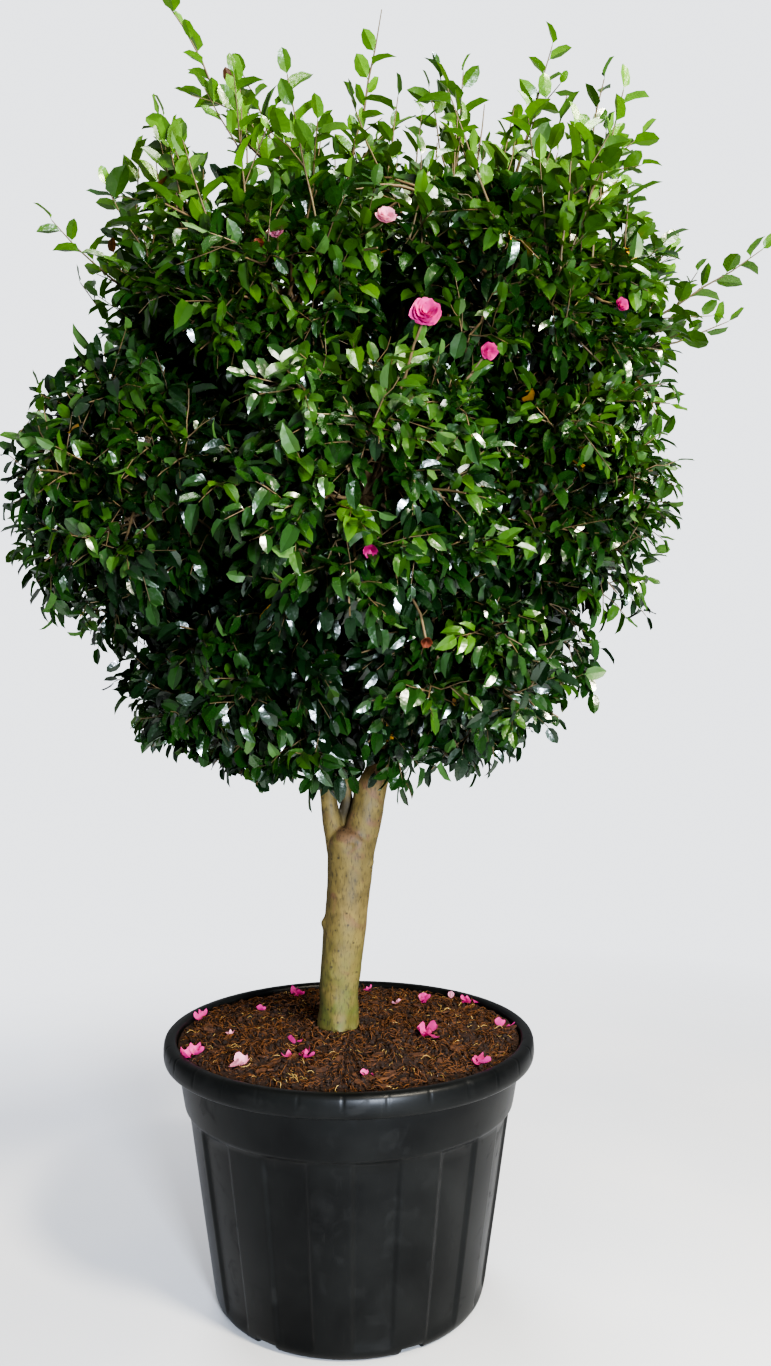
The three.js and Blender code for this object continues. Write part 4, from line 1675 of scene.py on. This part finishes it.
@dataclass
class Growth:
    """What grows in one mass's own space: twigs, side twigs, new shoots and their leaves."""

    crown: "Foliage"
    own: int
    rng: Random

    def __post_init__(self) -> None:
        """Looks up the mass, the space it keeps to and how its leaves hang."""
        self.mass = self.crown.wood.masses[self.own]
        self.space = self.crown.space
        self.hang = self.mass.tier.hang

    def holds(self, points: Sequence[Vector], room: tuple[float, float], shaped: bool = False) -> bool:
        """Whether points lie in the mass's space; the arguments are those of Space.holds."""
        return self.space.holds(points, self.own, room, shaped)

    def add_twig(self, points: list[Vector], thickness: tuple[float, float], young: bool = False) -> None:
        """Keeps a twig of a given thickness at foot and tip."""
        self.crown.twigs.append(Twig(points, *thickness, young))

    def tint_by_painted_light(self, place: Vector, newness: float) -> Tint:
        """Colour of a spray, from how much light it gets and how new it is: painted light and shade, darker
        deep in its mass and low in the crown, lighter high up and on the right where the key light falls.

        Args:
            place: Middle of the spray.
            newness: 0 inside the crown, 1 at a new shoot's tip.

        Returns:
            The tint that most of its leaves have.
        """
        height = min(1.0, max(0.0, (place.z - 1.05) / 1.0))
        depth = (place - self.mass.centre).dot(self.mass.outward) / self.mass.reach
        # painted light and shade: the score rises with height, towards the mass's outside and, high in the
        # crown, towards the right where the key light falls; newness and chance add to it
        light = 0.46 * height + 0.20 * depth + 0.2 * newness + self.rng.gauss(0.0, 0.16)
        light += 0.10 * min(1.0, max(-1.0, place.x / 0.5)) * height
        return next((tint for bound, tint in self.crown.painted_light_tint_bounds if light < bound), Tint.BRIGHT)

    def leaf(
        self, root: Vector, tangent: Vector, turn: float, last: bool, hang: float, size: float, tint: Tint
    ) -> None:
        """Sets one leaf on a twig if it stays in the mass's space.

        Args:
            root: Where it leaves the twig.
            tangent: The twig's direction there.
            turn: Angle round the twig.
            last: Whether it ends the twig.
            hang: Droop below 0, lift above.
            size: Leaf length.
            tint: Its spray's colour.
        """
        across = tangent.cross(UP)
        across = across.normalized() if across.length > 0.05 else Vector((1.0, 0.0, 0.0))
        across = Quaternion(tangent, turn) @ across
        along = (tangent + across * (0.12 if last else 1.1) + UP * hang).normalized()
        wobble = scattered(self.rng)
        face = self.mass.outward * 0.75 + UP * 0.85 + across * 0.3 + wobble * 0.34
        side = along.cross(face)
        if side.length < 0.05:
            return
        side.normalize()
        normal = side.cross(along)
        wide = side * (0.24 * size)
        middle = root + along * (0.5 * size)
        crown = self.crown
        if not self.holds((root + along * size, middle + wide, middle - wide), crown.leaf_room):
            return
        chance = self.rng.random()
        if chance < crown.gold_share:
            tint = Tint.GOLD
        elif chance < crown.turned_share:
            tint = Tint.PALE
            normal, side = -normal, -side
        turned = Matrix((side, along, normal)).transposed().to_3x3()
        crown.leaves[tint].put(root, turned, size, self.rng.randrange(crown.leaf_kinds))

    def spray(self, points: Sequence[Vector], start: float, size: float, hang: float, newness: float) -> None:
        """Sets alternate leaves along a twig.

        Args:
            points: The twig's points.
            start: Share of its length that stays bare.
            size: Leaf length.
            hang: Droop below 0, lift above.
            newness: 0 inside the crown, 1 at a new shoot's tip.
        """
        rng, crown = self.rng, self.crown
        lengths = [0.0]
        for near, far in zip(points, points[1:]):
            lengths.append(lengths[-1] + (far - near).length)
        total = lengths[-1]
        step = crown.shoot_step if newness >= 1.0 else crown.leaf_step
        count = max(2, round(total * (1.0 - start) / step))
        tint = self.tint_by_painted_light(points[-1], newness)
        first_turn = FULL_TURN * rng.random()
        for number in range(count + 1):
            share = start + (1.0 - start) * number / count
            distance = share * total
            at = max(1, next((k for k, length in enumerate(lengths) if length >= distance), len(lengths) - 1))
            within = (distance - lengths[at - 1]) / max(1e-6, lengths[at] - lengths[at - 1])
            root = points[at - 1].lerp(points[at], min(1.0, within))
            tangent = (points[at] - points[at - 1]).normalized()
            turn = first_turn + math.pi * number + rng.gauss(0.0, 0.5)
            last = number == count
            young = last and newness > 0.6
            long = size * rng.uniform(0.78, 1.16) * (0.72 if young else 1.0)
            if newness < 1.0:
                long *= 1.0 + (crown.high_leaf - 1.0) * smoothstep(1.55, 1.95, root.z)
            own_tint = Tint.BRIGHT if young and rng.random() < 0.4 else tint
            if young and rng.random() < crown.bronze_share:
                own_tint = Tint.BRONZE
            self.leaf(root, tangent, turn, last, hang + rng.gauss(0.0, 0.12), long, own_tint)

    def side_shoots(self, parent: Sequence[Vector], thick: float) -> None:
        """Side twigs of one twig, each with its leaves and small shoots of its own.

        Args:
            parent: Points of the parent twig.
            thick: The parent's thickness at its middle.
        """
        mass, crown, rng, hang = self.mass, self.crown, self.rng, self.hang
        first_turn = FULL_TURN * rng.random()
        for number in range(crown.side_twigs):
            share = 0.3 + 0.66 * (number + rng.random() * 0.5) / crown.side_twigs
            at = min(len(parent) - 2, int(share * (len(parent) - 1)))
            root = parent[at].lerp(parent[at + 1], share * (len(parent) - 1) - at)
            tangent = (parent[at + 1] - parent[at]).normalized()
            away = sideways(tangent, first_turn + GOLDEN_ANGLE * number)
            way = (tangent * 0.62 + away * 0.85 + mass.outward * 0.25 + UP * (0.28 + 0.3 * hang)).normalized()
            length = mass.reach * (0.62 - 0.34 * share) * rng.uniform(0.75, 1.15)
            tip = root + way * length
            while length > crown.shortest and not self.holds((tip,), crown.side_room, True):
                length *= 0.8
                tip = root + way * length
            inner = (tip - mass.centre).dot(mass.outward) < 0.25 * mass.reach
            if length <= crown.shortest or (tip - mass.centre).length > mass.reach * (1.5 if inner else 1.15):
                continue
            if rng.random() < crown.thinned(tip):
                continue
            points = crooked(root, tip, 0.06 + 0.1 * hang, 4, 0.03, rng)
            outer = (tip - mass.centre).length / mass.reach
            self.add_twig(points, (0.42 * thick, crown.fine))
            newness = max(0.0, outer - 0.75)
            self.spray(points, 0.34, crown.leaf_length, 0.8 * hang, newness)
            for fork in (0.42, 0.66):
                spot = min(3, int(fork * 4))
                base = points[spot]
                ahead = (points[spot + 1] - points[spot]).normalized()
                turned = sideways(ahead, FULL_TURN * rng.random())
                way = (ahead * 0.7 + turned * 0.75 + UP * 0.2 * hang).normalized()
                end = base + way * rng.uniform(0.05, 0.10)
                if self.holds((end,), crown.fork_room, True):
                    small = crooked(base, end, 0.04, 2, 0.03, rng)
                    self.add_twig(small, crown.fork_twig)
                    self.spray(small, 0.3, 0.92 * crown.leaf_length, 0.8 * hang, newness)
            if tip.z > crown.shoots_above - 0.4 * abs(tip.y) and rng.random() < 0.5:
                self.new_shoot(points[-2], tip, mass.outward * 0.3 + UP, (0.08, 0.24))

    def new_shoot(self, start: Vector, end: Vector, way: Vector, lengths: tuple[float, float]) -> None:
        """A short new shoot beyond a twig's end, if there is room for it.

        Args:
            start: Where it leaves the twig.
            end: The twig's end.
            way: Roughly where it grows.
            lengths: Shortest and longest reach beyond the end.
        """
        crown, outline, rng = self.crown, self.space.outline, self.rng
        wobble = scattered(rng)
        far = end + (way.normalized() + wobble * 0.16).normalized() * rng.uniform(*lengths)
        crest = outline.new_crest - outline.fall * abs(far.y) + rng.uniform(-0.05, 0.03)
        if far.z < crest and self.holds((far,), crown.shoot_room):
            self.shoot(start, far, crown.short_shoot)

    def shoot(self, start: Vector, tip: Vector, thick: float) -> None:
        """A new shoot that stands out of the crown, with small ones on it where it is long.

        Args:
            start: Its foot.
            tip: Its tip.
            thick: Thickness at its foot.
        """
        crown, rng = self.crown, self.rng
        length = (tip - start).length
        points = crooked(start, tip, -0.05, max(4, int(length / 0.05)), 0.008, rng)
        self.add_twig(points, (thick, crown.fine), True)
        self.spray(points, 0.3, crown.new_leaf, 0.42, 1.0)
        for share in (0.35, 0.5, 0.66) if length >= 0.22 else ():
            at = int(share * (len(points) - 1))
            ahead = (points[at + 1] - points[at]).normalized()
            turned = sideways(ahead, FULL_TURN * rng.random())
            end = points[at] + (ahead + turned * 0.7).normalized() * rng.uniform(0.06, 0.12)
            if self.holds((end,), crown.shoot_fork_room):
                small = crooked(points[at], end, 0.03, 2, 0.02, rng)
                self.add_twig(small, crown.shoot_fork, True)
                self.spray(small, 0.25, 0.9 * crown.new_leaf, 0.35, 1.0)

    def limb_twig(self, stem: Sequence[Vector], ray: Vector) -> None:
        """Grows one of the mass's main twigs with all that it carries, if there is room for it.

        Args:
            stem: Points of the mass's stem.
            ray: Way it grows, from the mass's centre.
        """
        mass, crown, rng = self.mass, self.crown, self.rng
        hub = mass.centre
        reach = mass.reach * rng.uniform(0.78, 1.0)
        end = hub + ray * reach
        while reach > 0.4 * mass.reach and not self.holds((end,), crown.limb_room, True):
            reach *= 0.9
            end = hub + ray * reach
        if reach <= 0.4 * mass.reach:
            return
        root = stem[-1].lerp(stem[2], rng.random() * 0.8)
        points = crooked(root, end, 0.06 + 0.08 * self.hang, 6, 0.018, rng)
        self.add_twig(points, crown.limb_twig)
        self.side_shoots(points, 0.0032)
        self.spray(points, 0.55, crown.leaf_length, 0.8 * self.hang, reach / mass.reach - 0.7)
        upper = mass.tier.name in ("shoulder", "top")
        if rng.random() < (0.75 if upper else 0.2) and ray.z > (-0.1 if upper else 0.2):
            way = ray * 0.55 + UP * (1.0 if upper else 0.5)
            self.new_shoot(points[-2], end, way, (0.07, 0.2 if upper else 0.09))

    def grow(self) -> None:
        """Grows the mass: its stem, twigs, long shoots and the twigs that carry blooms."""
        mass, crown, rng = self.mass, self.crown, self.rng
        hub = mass.centre
        stem = crooked(mass.route[-1], hub, 0.0, 4, 0.012, rng)
        thick = mass.radii[-1]
        self.add_twig(stem, (thick, 0.62 * thick))
        to_outward = UP.rotation_difference(mass.outward)
        first_turn = FULL_TURN * rng.random()
        for number in range(crown.limb_twigs):
            height = 1.0 - crown.cone * (number + 0.5) / crown.limb_twigs
            turn = first_turn + GOLDEN_ANGLE * number
            self.limb_twig(stem, to_outward @ around(math.sqrt(1.0 - height**2), turn, height))
        for place in crown.shoot_tips:
            far = Vector(place)
            if self.space.owner(far) == self.own:
                self.shoot(hub.lerp(far, 0.12), far, crown.long_shoot)
        for bloom in crown.blooms.on_twigs:
            if self.space.owner(bloom.place) == self.own:
                points = crooked(hub, bloom.place, 0.02, 6, 0.01, rng)
                self.add_twig(points, crown.bloom_twig)
                self.spray(points[:-1], 0.55, crown.leaf_length, 0.5 * self.hang, 0.4)


@dataclass
class Foliage:
    """Twigs and leaves of the whole crown, grown mass by mass inside each mass's own space."""

    wood: Frame
    space: Space
    blooms: "Blossom"
    seed: int = 4131
    limb_twigs: int = 20
    side_twigs: int = 8
    leader_twigs: int = 130
    cone: float = 1.94
    leaf_length: float = 0.036
    high_leaf: float = 1.22
    new_leaf: float = 0.049
    leaf_step: float = 0.0115
    shoot_step: float = 0.024
    shoots_above: float = 1.90
    shortest: float = 0.05
    leaf_room: tuple[float, float] = (0.003, 0.004)
    limb_room: tuple[float, float] = (0.014, 0.01)
    side_room: tuple[float, float] = (0.012, 0.008)
    fork_room: tuple[float, float] = (0.008, 0.006)
    leader_room: tuple[float, float] = (0.01, 0.01)
    shoot_room: tuple[float, float] = (0.004, 0.01)
    shoot_fork_room: tuple[float, float] = (0.004, 0.006)
    leaf_kinds: int = 5
    gold_share: float = 0.0012
    turned_share: float = 0.03
    bronze_share: float = 0.04
    piece_leaves: int = 12000
    thick_twig: float = 0.003
    fine: float = 0.0009
    short_shoot: float = 0.0022
    long_shoot: float = 0.0042
    limb_twig: tuple[float, float] = (0.0036, 0.0013)
    bloom_twig: tuple[float, float] = (0.0032, 0.0018)
    fork_twig: tuple[float, float] = (0.0013, 0.0008)
    shoot_fork: tuple[float, float] = (0.0014, 0.0008)
    # light scores at which the painted light and shade move a spray from one leaf tint to the next
    painted_light_tint_bounds: tuple[tuple[float, Tint], ...] = (
        (0.14, Tint.DEEP), (0.38, Tint.DARK), (0.64, Tint.GREEN), (0.95, Tint.FRESH),
    )
    shoot_tips: tuple[Triple, ...] = (
        (-0.333, -0.060, 2.364), (-0.205, 0.040, 2.286), (0.060, -0.040, 2.362), (0.168, 0.060, 2.312),
        (0.372, -0.050, 2.290), (0.560, 0.060, 2.180), (0.762, -0.030, 1.924), (0.730, 0.070, 1.824),
        (-0.540, -0.060, 1.966), (-0.060, 0.330, 2.224), (0.240, 0.420, 2.154), (-0.330, 0.360, 2.014),
    )
    twigs: list[Twig] = field(default_factory=list)
    leaves: dict[Tint, SetPoints] = field(default_factory=lambda: {tint: SetPoints() for tint in Tint})

    def thinned(self, place: Vector) -> float:
        """Share of side twigs that are missing at a place: the top and the lower right stay open."""
        outline = self.space.outline
        below = outline.crest - outline.fall * abs(place.y) - place.z
        top = 0.7 * (1.0 - smoothstep(0.0, 0.15, below))
        low = 0.5 * smoothstep(-0.3, 0.2, place.x) * (1.0 - smoothstep(1.10, 1.30, place.z))
        return top + low

    def grow_leader_twigs(self) -> None:
        """Grows short shaded twigs straight off the leaders, inside the crown, their leaves darkened as
        painted shade.
        """
        rng = Random(self.seed)
        for number in range(self.leader_twigs):
            _, sections = self.wood.leaders[number % len(self.wood.leaders)]
            low = self.wood.lowest_start + 0.08
            height = low + (sections[-1][2] - low) * rng.random()
            root = self.wood.leader_point(sections, height)
            way = around(1.0, GOLDEN_ANGLE * number, rng.uniform(-0.3, 0.7)).normalized()
            tip = root + way * rng.uniform(0.11, 0.24)
            growth = Growth(self, self.space.owner(tip), rng)
            if growth.holds((tip,), self.leader_room, True):
                points = crooked(root, tip, 0.05, 5, 0.03, rng)
                growth.add_twig(points, (0.0026, self.fine))
                # a newness of -0.4 lowers the light score: painted shade, darker tints for the leaves inside
                # the crown
                growth.spray(points, 0.25, self.leaf_length, 0.0, -0.4)
                growth.side_shoots(points, 0.002)

    def sweep(self, name: str, chosen: Sequence[Twig], values: dict[str, object], tool: TwigSweeper) -> None:
        """Gives a set of twigs their round skin.

        Args:
            name: Name of the piece.
            chosen: Twigs to sweep.
            values: The sides of their section and their finish, by the group's inputs.
            tool: Group that sweeps them.
        """
        vertices: list[Vector] = []
        edges: list[Face] = []
        thickness: list[float] = []
        for twig in chosen:
            first = len(vertices)
            last = len(twig.points) - 1
            vertices += twig.points
            edges += [(first + at, first + at + 1) for at in range(last)]
            thickness += [twig.thick + (twig.thin - twig.thick) * at / last for at in range(last + 1)]
        source = mesh_object(name + "_chains", vertices, [], edges)
        point_field(source, "thickness", "FLOAT", thickness)
        put_on(smooth(tool.apply(source, name, values)), "bark")

    def build(self, setter: SpraySetter, sweeper: TwigSweeper) -> None:
        """Grows the crown and makes its pieces.

        Args:
            setter: Group that sets leaves.
            sweeper: Group that sweeps twigs.
        """
        for own in range(len(self.wood.masses)):
            Growth(self, own, Random(self.seed + 97 * (own + 1))).grow()
        self.grow_leader_twigs()
        brown = TwigFinish("tan camellia twig", "#6f5b3d", "#3f3320").material()
        young = TwigFinish("brown-green camellia shoot", "#4f4a26", "#4a3420").material()
        old = [twig for twig in self.twigs if not twig.young]
        for name, chosen, sides, finish in (
            ("branchlets", [twig for twig in old if twig.thick > self.thick_twig], 7, brown),
            ("twigs", [twig for twig in old if twig.thick <= self.thick_twig], 3, brown),
            ("new_shoots", [twig for twig in self.twigs if twig.young], 5, young),
        ):
            self.sweep(name, chosen, {"Sides": sides, "Material": finish}, sweeper)
        shapes = LeafBlade().collection()
        names = [f"foliage_{mass.name}" for mass in self.wood.masses]
        for tint, points in self.leaves.items():
            finish = tint.value.material()
            for number, part in enumerate(points.parts(self.piece_leaves)):
                name = f"leaves_{tint.name.lower()}_{number + 1}"
                made = part.set_shapes(name, setter, shapes, finish, 0.1, self.seed + number)
                put_on(made, "foliage", *names)
                LOG.info("%s: %d leaves", name, len(part.places))
                names = []
        discard(shapes)


# ---- Blossom and fallen petals ----


@dataclass(frozen=True)
class Bloom:
    """One bloom: where it sits, which way it faces, its radius and how far it has opened."""

    place: Vector
    facing: Vector
    radius: float
    open: float
    tint: str


@dataclass
class Blossom:
    """Open and fading blooms in the crown and the petals that have dropped onto the mix."""

    seed: int = 811
    rows: int = 6
    columns: int = 7
    fallen_radius: float = 0.0128
    whorls: tuple[tuple[int, float, float, float], ...] = (
        (6, 1.0, 0.18, 0.07), (6, 0.86, 0.42, 0.09), (6, 0.66, 0.72, 0.12), (5, 0.46, 1.0, 0.14),
        (4, 0.3, 1.3, 0.1),
    )
    on_twigs: tuple[Bloom, ...] = (
        Bloom(Vector((0.122, -0.575, 1.624)), Vector((0.05, -1.0, 0.25)), 0.022, 1.0, "pink"),
        Bloom(Vector((0.067, -0.470, 1.797)), Vector((0.1, -1.0, 0.5)), 0.015, 0.6, "blush"),
        Bloom(Vector((-0.090, -0.470, 1.776)), Vector((-0.2, -1.0, 0.3)), 0.012, 0.3, "blush"),
        Bloom(Vector((0.213, -0.500, 1.597)), Vector((0.2, -1.0, -0.3)), 0.012, 0.3, "pink"),
        Bloom(Vector((0.428, -0.370, 1.705)), Vector((0.4, -1.0, 0.1)), 0.011, 0.3, "pink"),
        Bloom(Vector((0.046, -0.520, 1.312)), Vector((0.0, -1.0, -0.6)), 0.010, 0.2, "pink"),
        Bloom(Vector((0.125, -0.500, 1.184)), Vector((0.1, -1.0, -0.5)), 0.008, 0.1, "spent"),
        Bloom(Vector((-0.120, -0.440, 1.770)), Vector((0.0, -1.0, 0.3)), 0.008, 0.1, "spent"),
        Bloom(Vector((0.330, 0.470, 1.584)), Vector((0.4, 1.0, 0.2)), 0.022, 1.0, "pink"),
        Bloom(Vector((-0.470, 0.330, 1.524)), Vector((-1.0, 0.6, 0.2)), 0.020, 0.8, "blush"),
    )
    fallen: tuple[tuple[float, float, float, str], ...] = (
        (0.245, 0.183, 1.2, "pink"), (0.297, 0.021, 0.9, "pink"), (0.143, -0.057, 1.5, "pink"),
        (0.229, -0.176, 1.1, "pink"), (-0.273, -0.140, 1.0, "pink"), (-0.192, -0.192, 1.1, "blush"),
        (-0.100, -0.096, 0.9, "pink"), (-0.076, -0.161, 1.2, "pink"), (-0.174, 0.106, 0.9, "pink"),
        (-0.289, 0.086, 0.9, "pink"), (0.086, 0.154, 0.8, "blush"), (0.137, 0.168, 1.0, "pink"),
        (0.037, -0.240, 0.8, "pink"), (0.200, 0.204, 0.8, "blush"), (-0.120, 0.230, 1.0, "pink"),
        (0.020, 0.275, 0.9, "pink"), (-0.220, -0.030, 0.7, "blush"),
    )

    def petal(self, radius: float, cup: float, ruffle: float, rng: Random) -> list[Vector]:
        """One petal growing along +Y from the origin, cupped towards +Z.

        Args:
            radius: Its length.
            cup: How far its tip rises, as a share of its length.
            ruffle: Depth of the waves along its edge, as a share of its length.
            rng: Seeded random numbers.

        Returns:
            Its points, row by row.
        """
        phase = rng.uniform(0.0, 6.28)
        notch = rng.uniform(0.02, 0.1)
        vertices = []
        for row in range(self.rows):
            along = row / (self.rows - 1)
            wide = 0.12 + 0.62 * math.sin(math.pi * min(1.0, along * 0.62 + 0.08)) ** 0.9
            for column in range(self.columns):
                across = 2.0 * column / (self.columns - 1) - 1.0
                rounded = along * (1.0 - 0.16 * across**2 * along - notch * (1.0 - abs(across)) * along**3)
                height = cup * along**1.7 + 0.22 * across**2 * wide * (0.4 + cup)
                height += ruffle * along**2 * math.sin(3.1 * across + phase + 2.0 * along)
                vertices.append(Vector((across * wide, rounded, height)) * radius)
        return vertices

    def bloom(self, bloom: Bloom, rng: Random) -> list[Vector]:
        """A whole bloom of several whorls.

        Args:
            bloom: The bloom.
            rng: Seeded random numbers.

        Returns:
            The points of its petals.
        """
        vertices: list[Vector] = []
        turn = UP.rotation_difference(bloom.facing.normalized())
        for level, (count, share, cup, ruffle) in enumerate(self.whorls):
            for number in range(count):
                closed = cup + (1.0 - bloom.open) * 0.6
                petal = self.petal(bloom.radius * share * rng.uniform(0.9, 1.08), closed, ruffle, rng)
                spin = Quaternion(UP, FULL_TURN * (number + 0.5 * level) / count + rng.gauss(0.0, 0.12))
                rise = UP * (bloom.radius * 0.05 * level)
                vertices += [bloom.place + turn @ (spin @ point + rise) for point in petal]
        return vertices

    def dropped(self, x: float, y: float, scale: float, mix: PottingMix, rng: Random) -> list[Vector]:
        """A small crumpled group of petals lying on the mix.

        Args:
            x: Place across.
            y: Place along.
            scale: Size factor.
            mix: The potting mix they lie on.
            rng: Seeded random numbers.

        Returns:
            The points of its petals.
        """
        vertices: list[Vector] = []
        for _ in range(2 if scale < 1.0 else 4):
            radius = self.fallen_radius * scale * rng.uniform(0.8, 1.2)
            petal = self.petal(radius, rng.uniform(0.3, 1.0), 0.24, rng)
            tilt = Quaternion((0, 0, 1), rng.uniform(0.0, 6.28)) @ Quaternion((1, 0, 0), rng.gauss(0.0, 0.4))
            offset = Vector((rng.gauss(0, 1), rng.gauss(0, 1), 0.0)) * 0.007 * scale
            place = Vector((x, y, 0.0)) + offset
            place.z = mix.level(place.x, place.y) + 4.0 * MM
            vertices += [place + tilt @ point for point in petal]
        return vertices

    def build(self, mix: PottingMix) -> None:
        """Builds blooms and fallen petals, each tint a piece of its own.

        Args:
            mix: The potting mix that petals lie on.
        """
        rng = Random(self.seed)
        finishes = {
            "pink": PetalFinish("pink camellia petal", "#cc4688", "#ad2f70"),
            "blush": PetalFinish("faded camellia petal", "#dc98ac", "#c98298"),
            "spent": PetalFinish("spent camellia petal", "#8c5038", "#5f3429"),
        }
        for tint, finish in finishes.items():
            vertices: list[Vector] = []
            for bloom in self.on_twigs:
                if bloom.tint == tint:
                    vertices += self.bloom(bloom, rng)
            for x, y, scale, name in self.fallen:
                if name == tint:
                    vertices += self.dropped(x, y, scale, mix, rng)
            wide = self.columns
            faces = [
                (a, a + 1, a + wide + 1, a + wide)
                for first in range(0, len(vertices), self.rows * wide)
                for low in range(first, first + (self.rows - 1) * wide, wide)
                for a in range(low, low + wide - 1)
            ]
            petals = smooth(mesh_object(f"petals_{tint}", vertices, faces))
            petals.data.materials.append(finish.material())
            put_on(petals, "foliage")


# ---- Studio ----


@dataclass(frozen=True)
class Lamp:
    """A soft square light: where it hangs, what it looks at, its side, watts and colour."""

    name: str
    place: Triple
    aim: Triple
    size: float
    power: float
    colour: str

    def build(self) -> None:
        """Hangs the light, unseen; what hangs behind the plant leaves no glint on the pot."""
        light = bpy.data.lights.new(self.name, "AREA")
        light.size = self.size
        light.energy = self.power
        light.color = linear(self.colour)[:3]
        lamp = bpy.data.objects.new(self.name, light)
        lamp.location = self.place
        lamp.rotation_euler = (Vector(self.aim) - Vector(self.place)).to_track_quat("-Z", "Y").to_euler()
        lamp.visible_camera = False
        lamp.visible_glossy = self.place[1] < 0.0
        bpy.context.scene.collection.objects.link(lamp)


@dataclass
class Studio:
    """Pale floor in a pale surround, soft lights and the camera."""

    eye: Triple = (0.067, -2.08, 1.124)
    lens: float = 29.25
    sensor: float = 36.0
    spread: float = 3.0
    air: str = "#ebeef3"
    ambient: float = 0.45
    backdrop_light: float = 1.6
    lamps: tuple[Lamp, ...] = (
        Lamp("key", (1.9, -2.3, 3.3), (0.0, 0.0, 1.2), 0.6, 270.0, "#fff5e2"),
        Lamp("front", (0.9, -3.1, 1.0), (0.0, 0.0, 1.1), 0.5, 250.0, "#e4eeff"),
        Lamp("top", (0.9, -0.7, 3.9), (0.2, 0.0, 1.9), 0.9, 60.0, "#fffdf6"),
        Lamp("back", (-1.3, 3.2, 2.2), (0.0, 0.0, 1.2), 2.4, 230.0, "#f6f7ff"),
    )

    def floor(self) -> None:
        """Builds the floor."""
        corners = [Vector((x, y, 0.0)) * self.spread for x, y in ((-1, -1), (1, -1), (1, 1), (-1, 1))]
        sheet = mesh_object("studio_floor", corners, [(0, 1, 2, 3)])
        sheet.data.materials.append(StageFinish().material())

    def surroundings(self) -> bpy.types.World:
        """Builds the air of the studio: a pale backdrop that is seen brighter than it shines.

        Returns:
            The world.
        """
        world = bpy.data.worlds.new("studio_air")
        world.use_nodes = True
        tree = world.node_tree
        tree.nodes.clear()
        seen = add_node(tree, "ShaderNodeLightPath").outputs["Is Camera Ray"]
        soft, pale = (
            add_node(tree, "ShaderNodeBackground", {"Color": self.air, "Strength": strength}).outputs[0]
            for strength in (self.ambient, self.backdrop_light)
        )
        both = add_node(tree, "ShaderNodeMixShader", (seen, soft, pale)).outputs["Shader"]
        add_node(tree, "ShaderNodeOutputWorld", {"Surface": both})
        return world

    def build(self) -> None:
        """Builds camera, surroundings, lights and floor."""
        scene = bpy.context.scene
        camera = bpy.data.cameras.new("camera")
        camera.lens = self.lens
        camera.sensor_width = self.sensor
        view = bpy.data.objects.new("camera", camera)
        view.location = self.eye
        view.rotation_euler = (math.pi / 2.0, 0.0, 0.0)
        scene.collection.objects.link(view)
        scene.camera = view
        scene.world = self.surroundings()
        for lamp in self.lamps:
            lamp.build()
        self.floor()
        scene.view_settings.view_transform = "AgX"
        scene.view_settings.look = "AgX - High Contrast"


def main() -> None:
    """Builds the plant, its pot and the studio."""
    logging.basicConfig(level=logging.INFO, format="%(message)s")
    Studio().build()
    setter = SpraySetter()
    sweeper = TwigSweeper()
    wood = Frame()
    wood.lay_out()
    NurseryPot().build()
    mix = PottingMix()
    mix.build(setter)
    Bark(wood).build()
    blossom = Blossom()
    Foliage(wood, Space(wood), blossom).build(setter, sweeper)
    blossom.build(mix)


if __name__ == "__main__":
    main()
